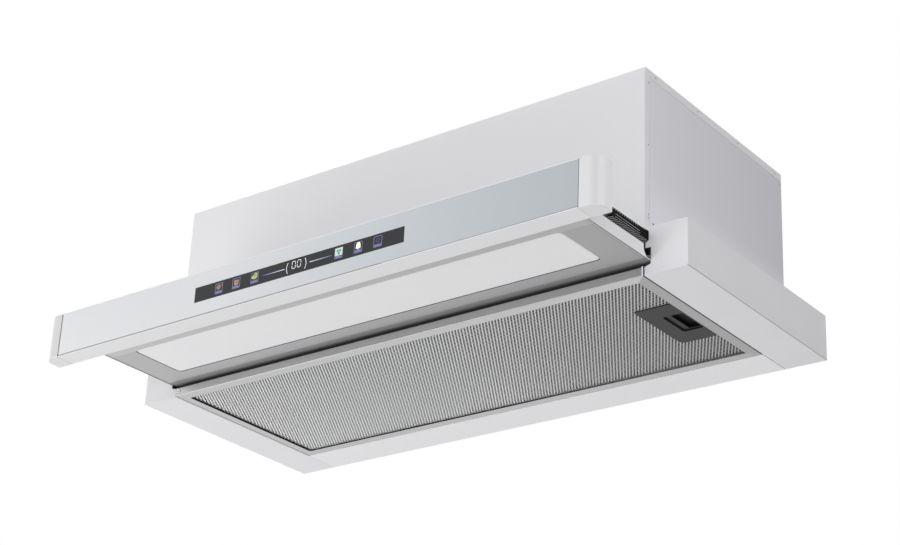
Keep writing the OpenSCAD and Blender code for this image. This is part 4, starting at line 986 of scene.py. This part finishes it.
box_plastic = grained("box_moulding", (0.66, 0.66, 0.63), 0.5, tone=(0.94, 25, 2.0),
                      grain=(0.02, 0.9, 2.0))
dress(box_plastic, "box_plastic", "control_box", "control_lid", "lamp_driver")
dress(black_plastic, "dark_plastic", "cable_gland")

# ---------------------------------------------------------------- stage
# A pale floor far below, which metal mirrors as a mid grey. Soft lamps, most
# of them in front, and plain light all round, which the camera sees as
# white. The camera is in front of the hood, below it and to its right.

FLOOR_Z = -3.0
FLOOR_HALF = 40
floor_mesh = bpy.data.meshes.new("floor")
floor_mesh.from_pydata([(x * FLOOR_HALF, y * FLOOR_HALF, FLOOR_Z) for x, y in (
    (-1, -1), (1, -1), (1, 1), (-1, 1))], [], [(0, 1, 2, 3)])
floor = bpy.data.objects.new("floor", floor_mesh)
bpy.context.scene.collection.objects.link(floor)
floor_paint = Finish("floor_paint", 0.86, 0.9)
floor_paint.shade(floor_paint.noise(400, 2.0), 0.98)
mirrored = floor_paint.add("ShaderNodeLightPath", output="Is Glossy Ray")
floor_paint.give(Emission_Strength=1.0, Emission_Color=floor_paint.blend(mirrored, 0.0, 0.45))
floor_mesh.materials.append(floor_paint.material)

AROUND = (0.438, 0.438, 0.446)
SEEN = 1.0
world = bpy.data.worlds.new("studio")
bpy.context.scene.world = world
world.use_nodes = True
studio = Nodes(world.node_tree)
seen = studio.add("ShaderNodeLightPath", output="Is Camera Ray")
for ray in ("Is Glossy Ray", "Is Transmission Ray"):
    seen = seen.maths("MAXIMUM", seen, studio.add("ShaderNodeLightPath", output=ray))
studio.feed(studio.tree.nodes["Background"], {
    "Color": studio.blend(seen, AROUND, SEEN), "Strength": 1.0})


def lamp(name, place, target, size, power):
    """A square soft lamp that points at the target."""
    light = bpy.data.lights.new(name, "AREA")
    light.shape = "SQUARE"
    light.size = size
    light.energy = power
    holder = bpy.data.objects.new(name, light)
    bpy.context.scene.collection.objects.link(holder)
    holder.location = place
    holder.rotation_euler = (Vector(target) - Vector(place)).to_track_quat("-Z", "Y").to_euler()


lamp("low_lamp", (-1.7, -0.9, -1.4), (0, 0, 0.05), 1.4, 28.2)
lamp("left_lamp", (-2.15, -1.45, 0.3), (0, 0, 0.1), 1.2, 6.5)
lamp("right_lamp", (1.5, -1.9, -0.2), (0, 0, 0.05), 1.4, 9.5)
lamp("top_lamp", (-0.2, -2.6, 1.2), (0, 0, 0.1), 1.6, 11.5)
lamp("below_lamp", (0.6, -0.6, -2.2), (0, 0, 0), 1.6, 2.5)
lamp("side_lamp", (1.0, -0.6, -0.12), (0.29, -0.1, 0.03), 0.3, 1.1)
lamp("overhead_lamp", (0.27, 0.05, 1.8), (0.27, 0.05, 0.1), 0.3, 6)

view = bpy.context.scene.view_settings
view.view_transform = "Standard"

CAMERA_AT = (1.039, -1.2855, -0.669)
AZIMUTH = math.radians(38.36)
ELEVATION = math.radians(-24.57)
ROLL = math.radians(2.75)
camera_data = bpy.data.cameras.new("camera")
camera_data.lens = 80.644
camera_data.sensor_width = 36.0
camera_data.clip_start = 0.05
camera_data.clip_end = 100
camera = bpy.data.objects.new("camera", camera_data)
bpy.context.scene.collection.objects.link(camera)
back = Vector((math.sin(AZIMUTH) * math.cos(ELEVATION), -math.cos(AZIMUTH) * math.cos(ELEVATION),
               math.sin(ELEVATION)))
right = (-back).cross(Vector((0, 0, 1))).normalized()
up = right.cross(-back)
turned_right = right * math.cos(ROLL) + up * math.sin(ROLL)
turned_up = up * math.cos(ROLL) - right * math.sin(ROLL)
camera.matrix_world = Matrix.Translation(CAMERA_AT) @ Matrix(
    (turned_right, turned_up, back)).transposed().to_4x4()
bpy.context.scene.camera = camera
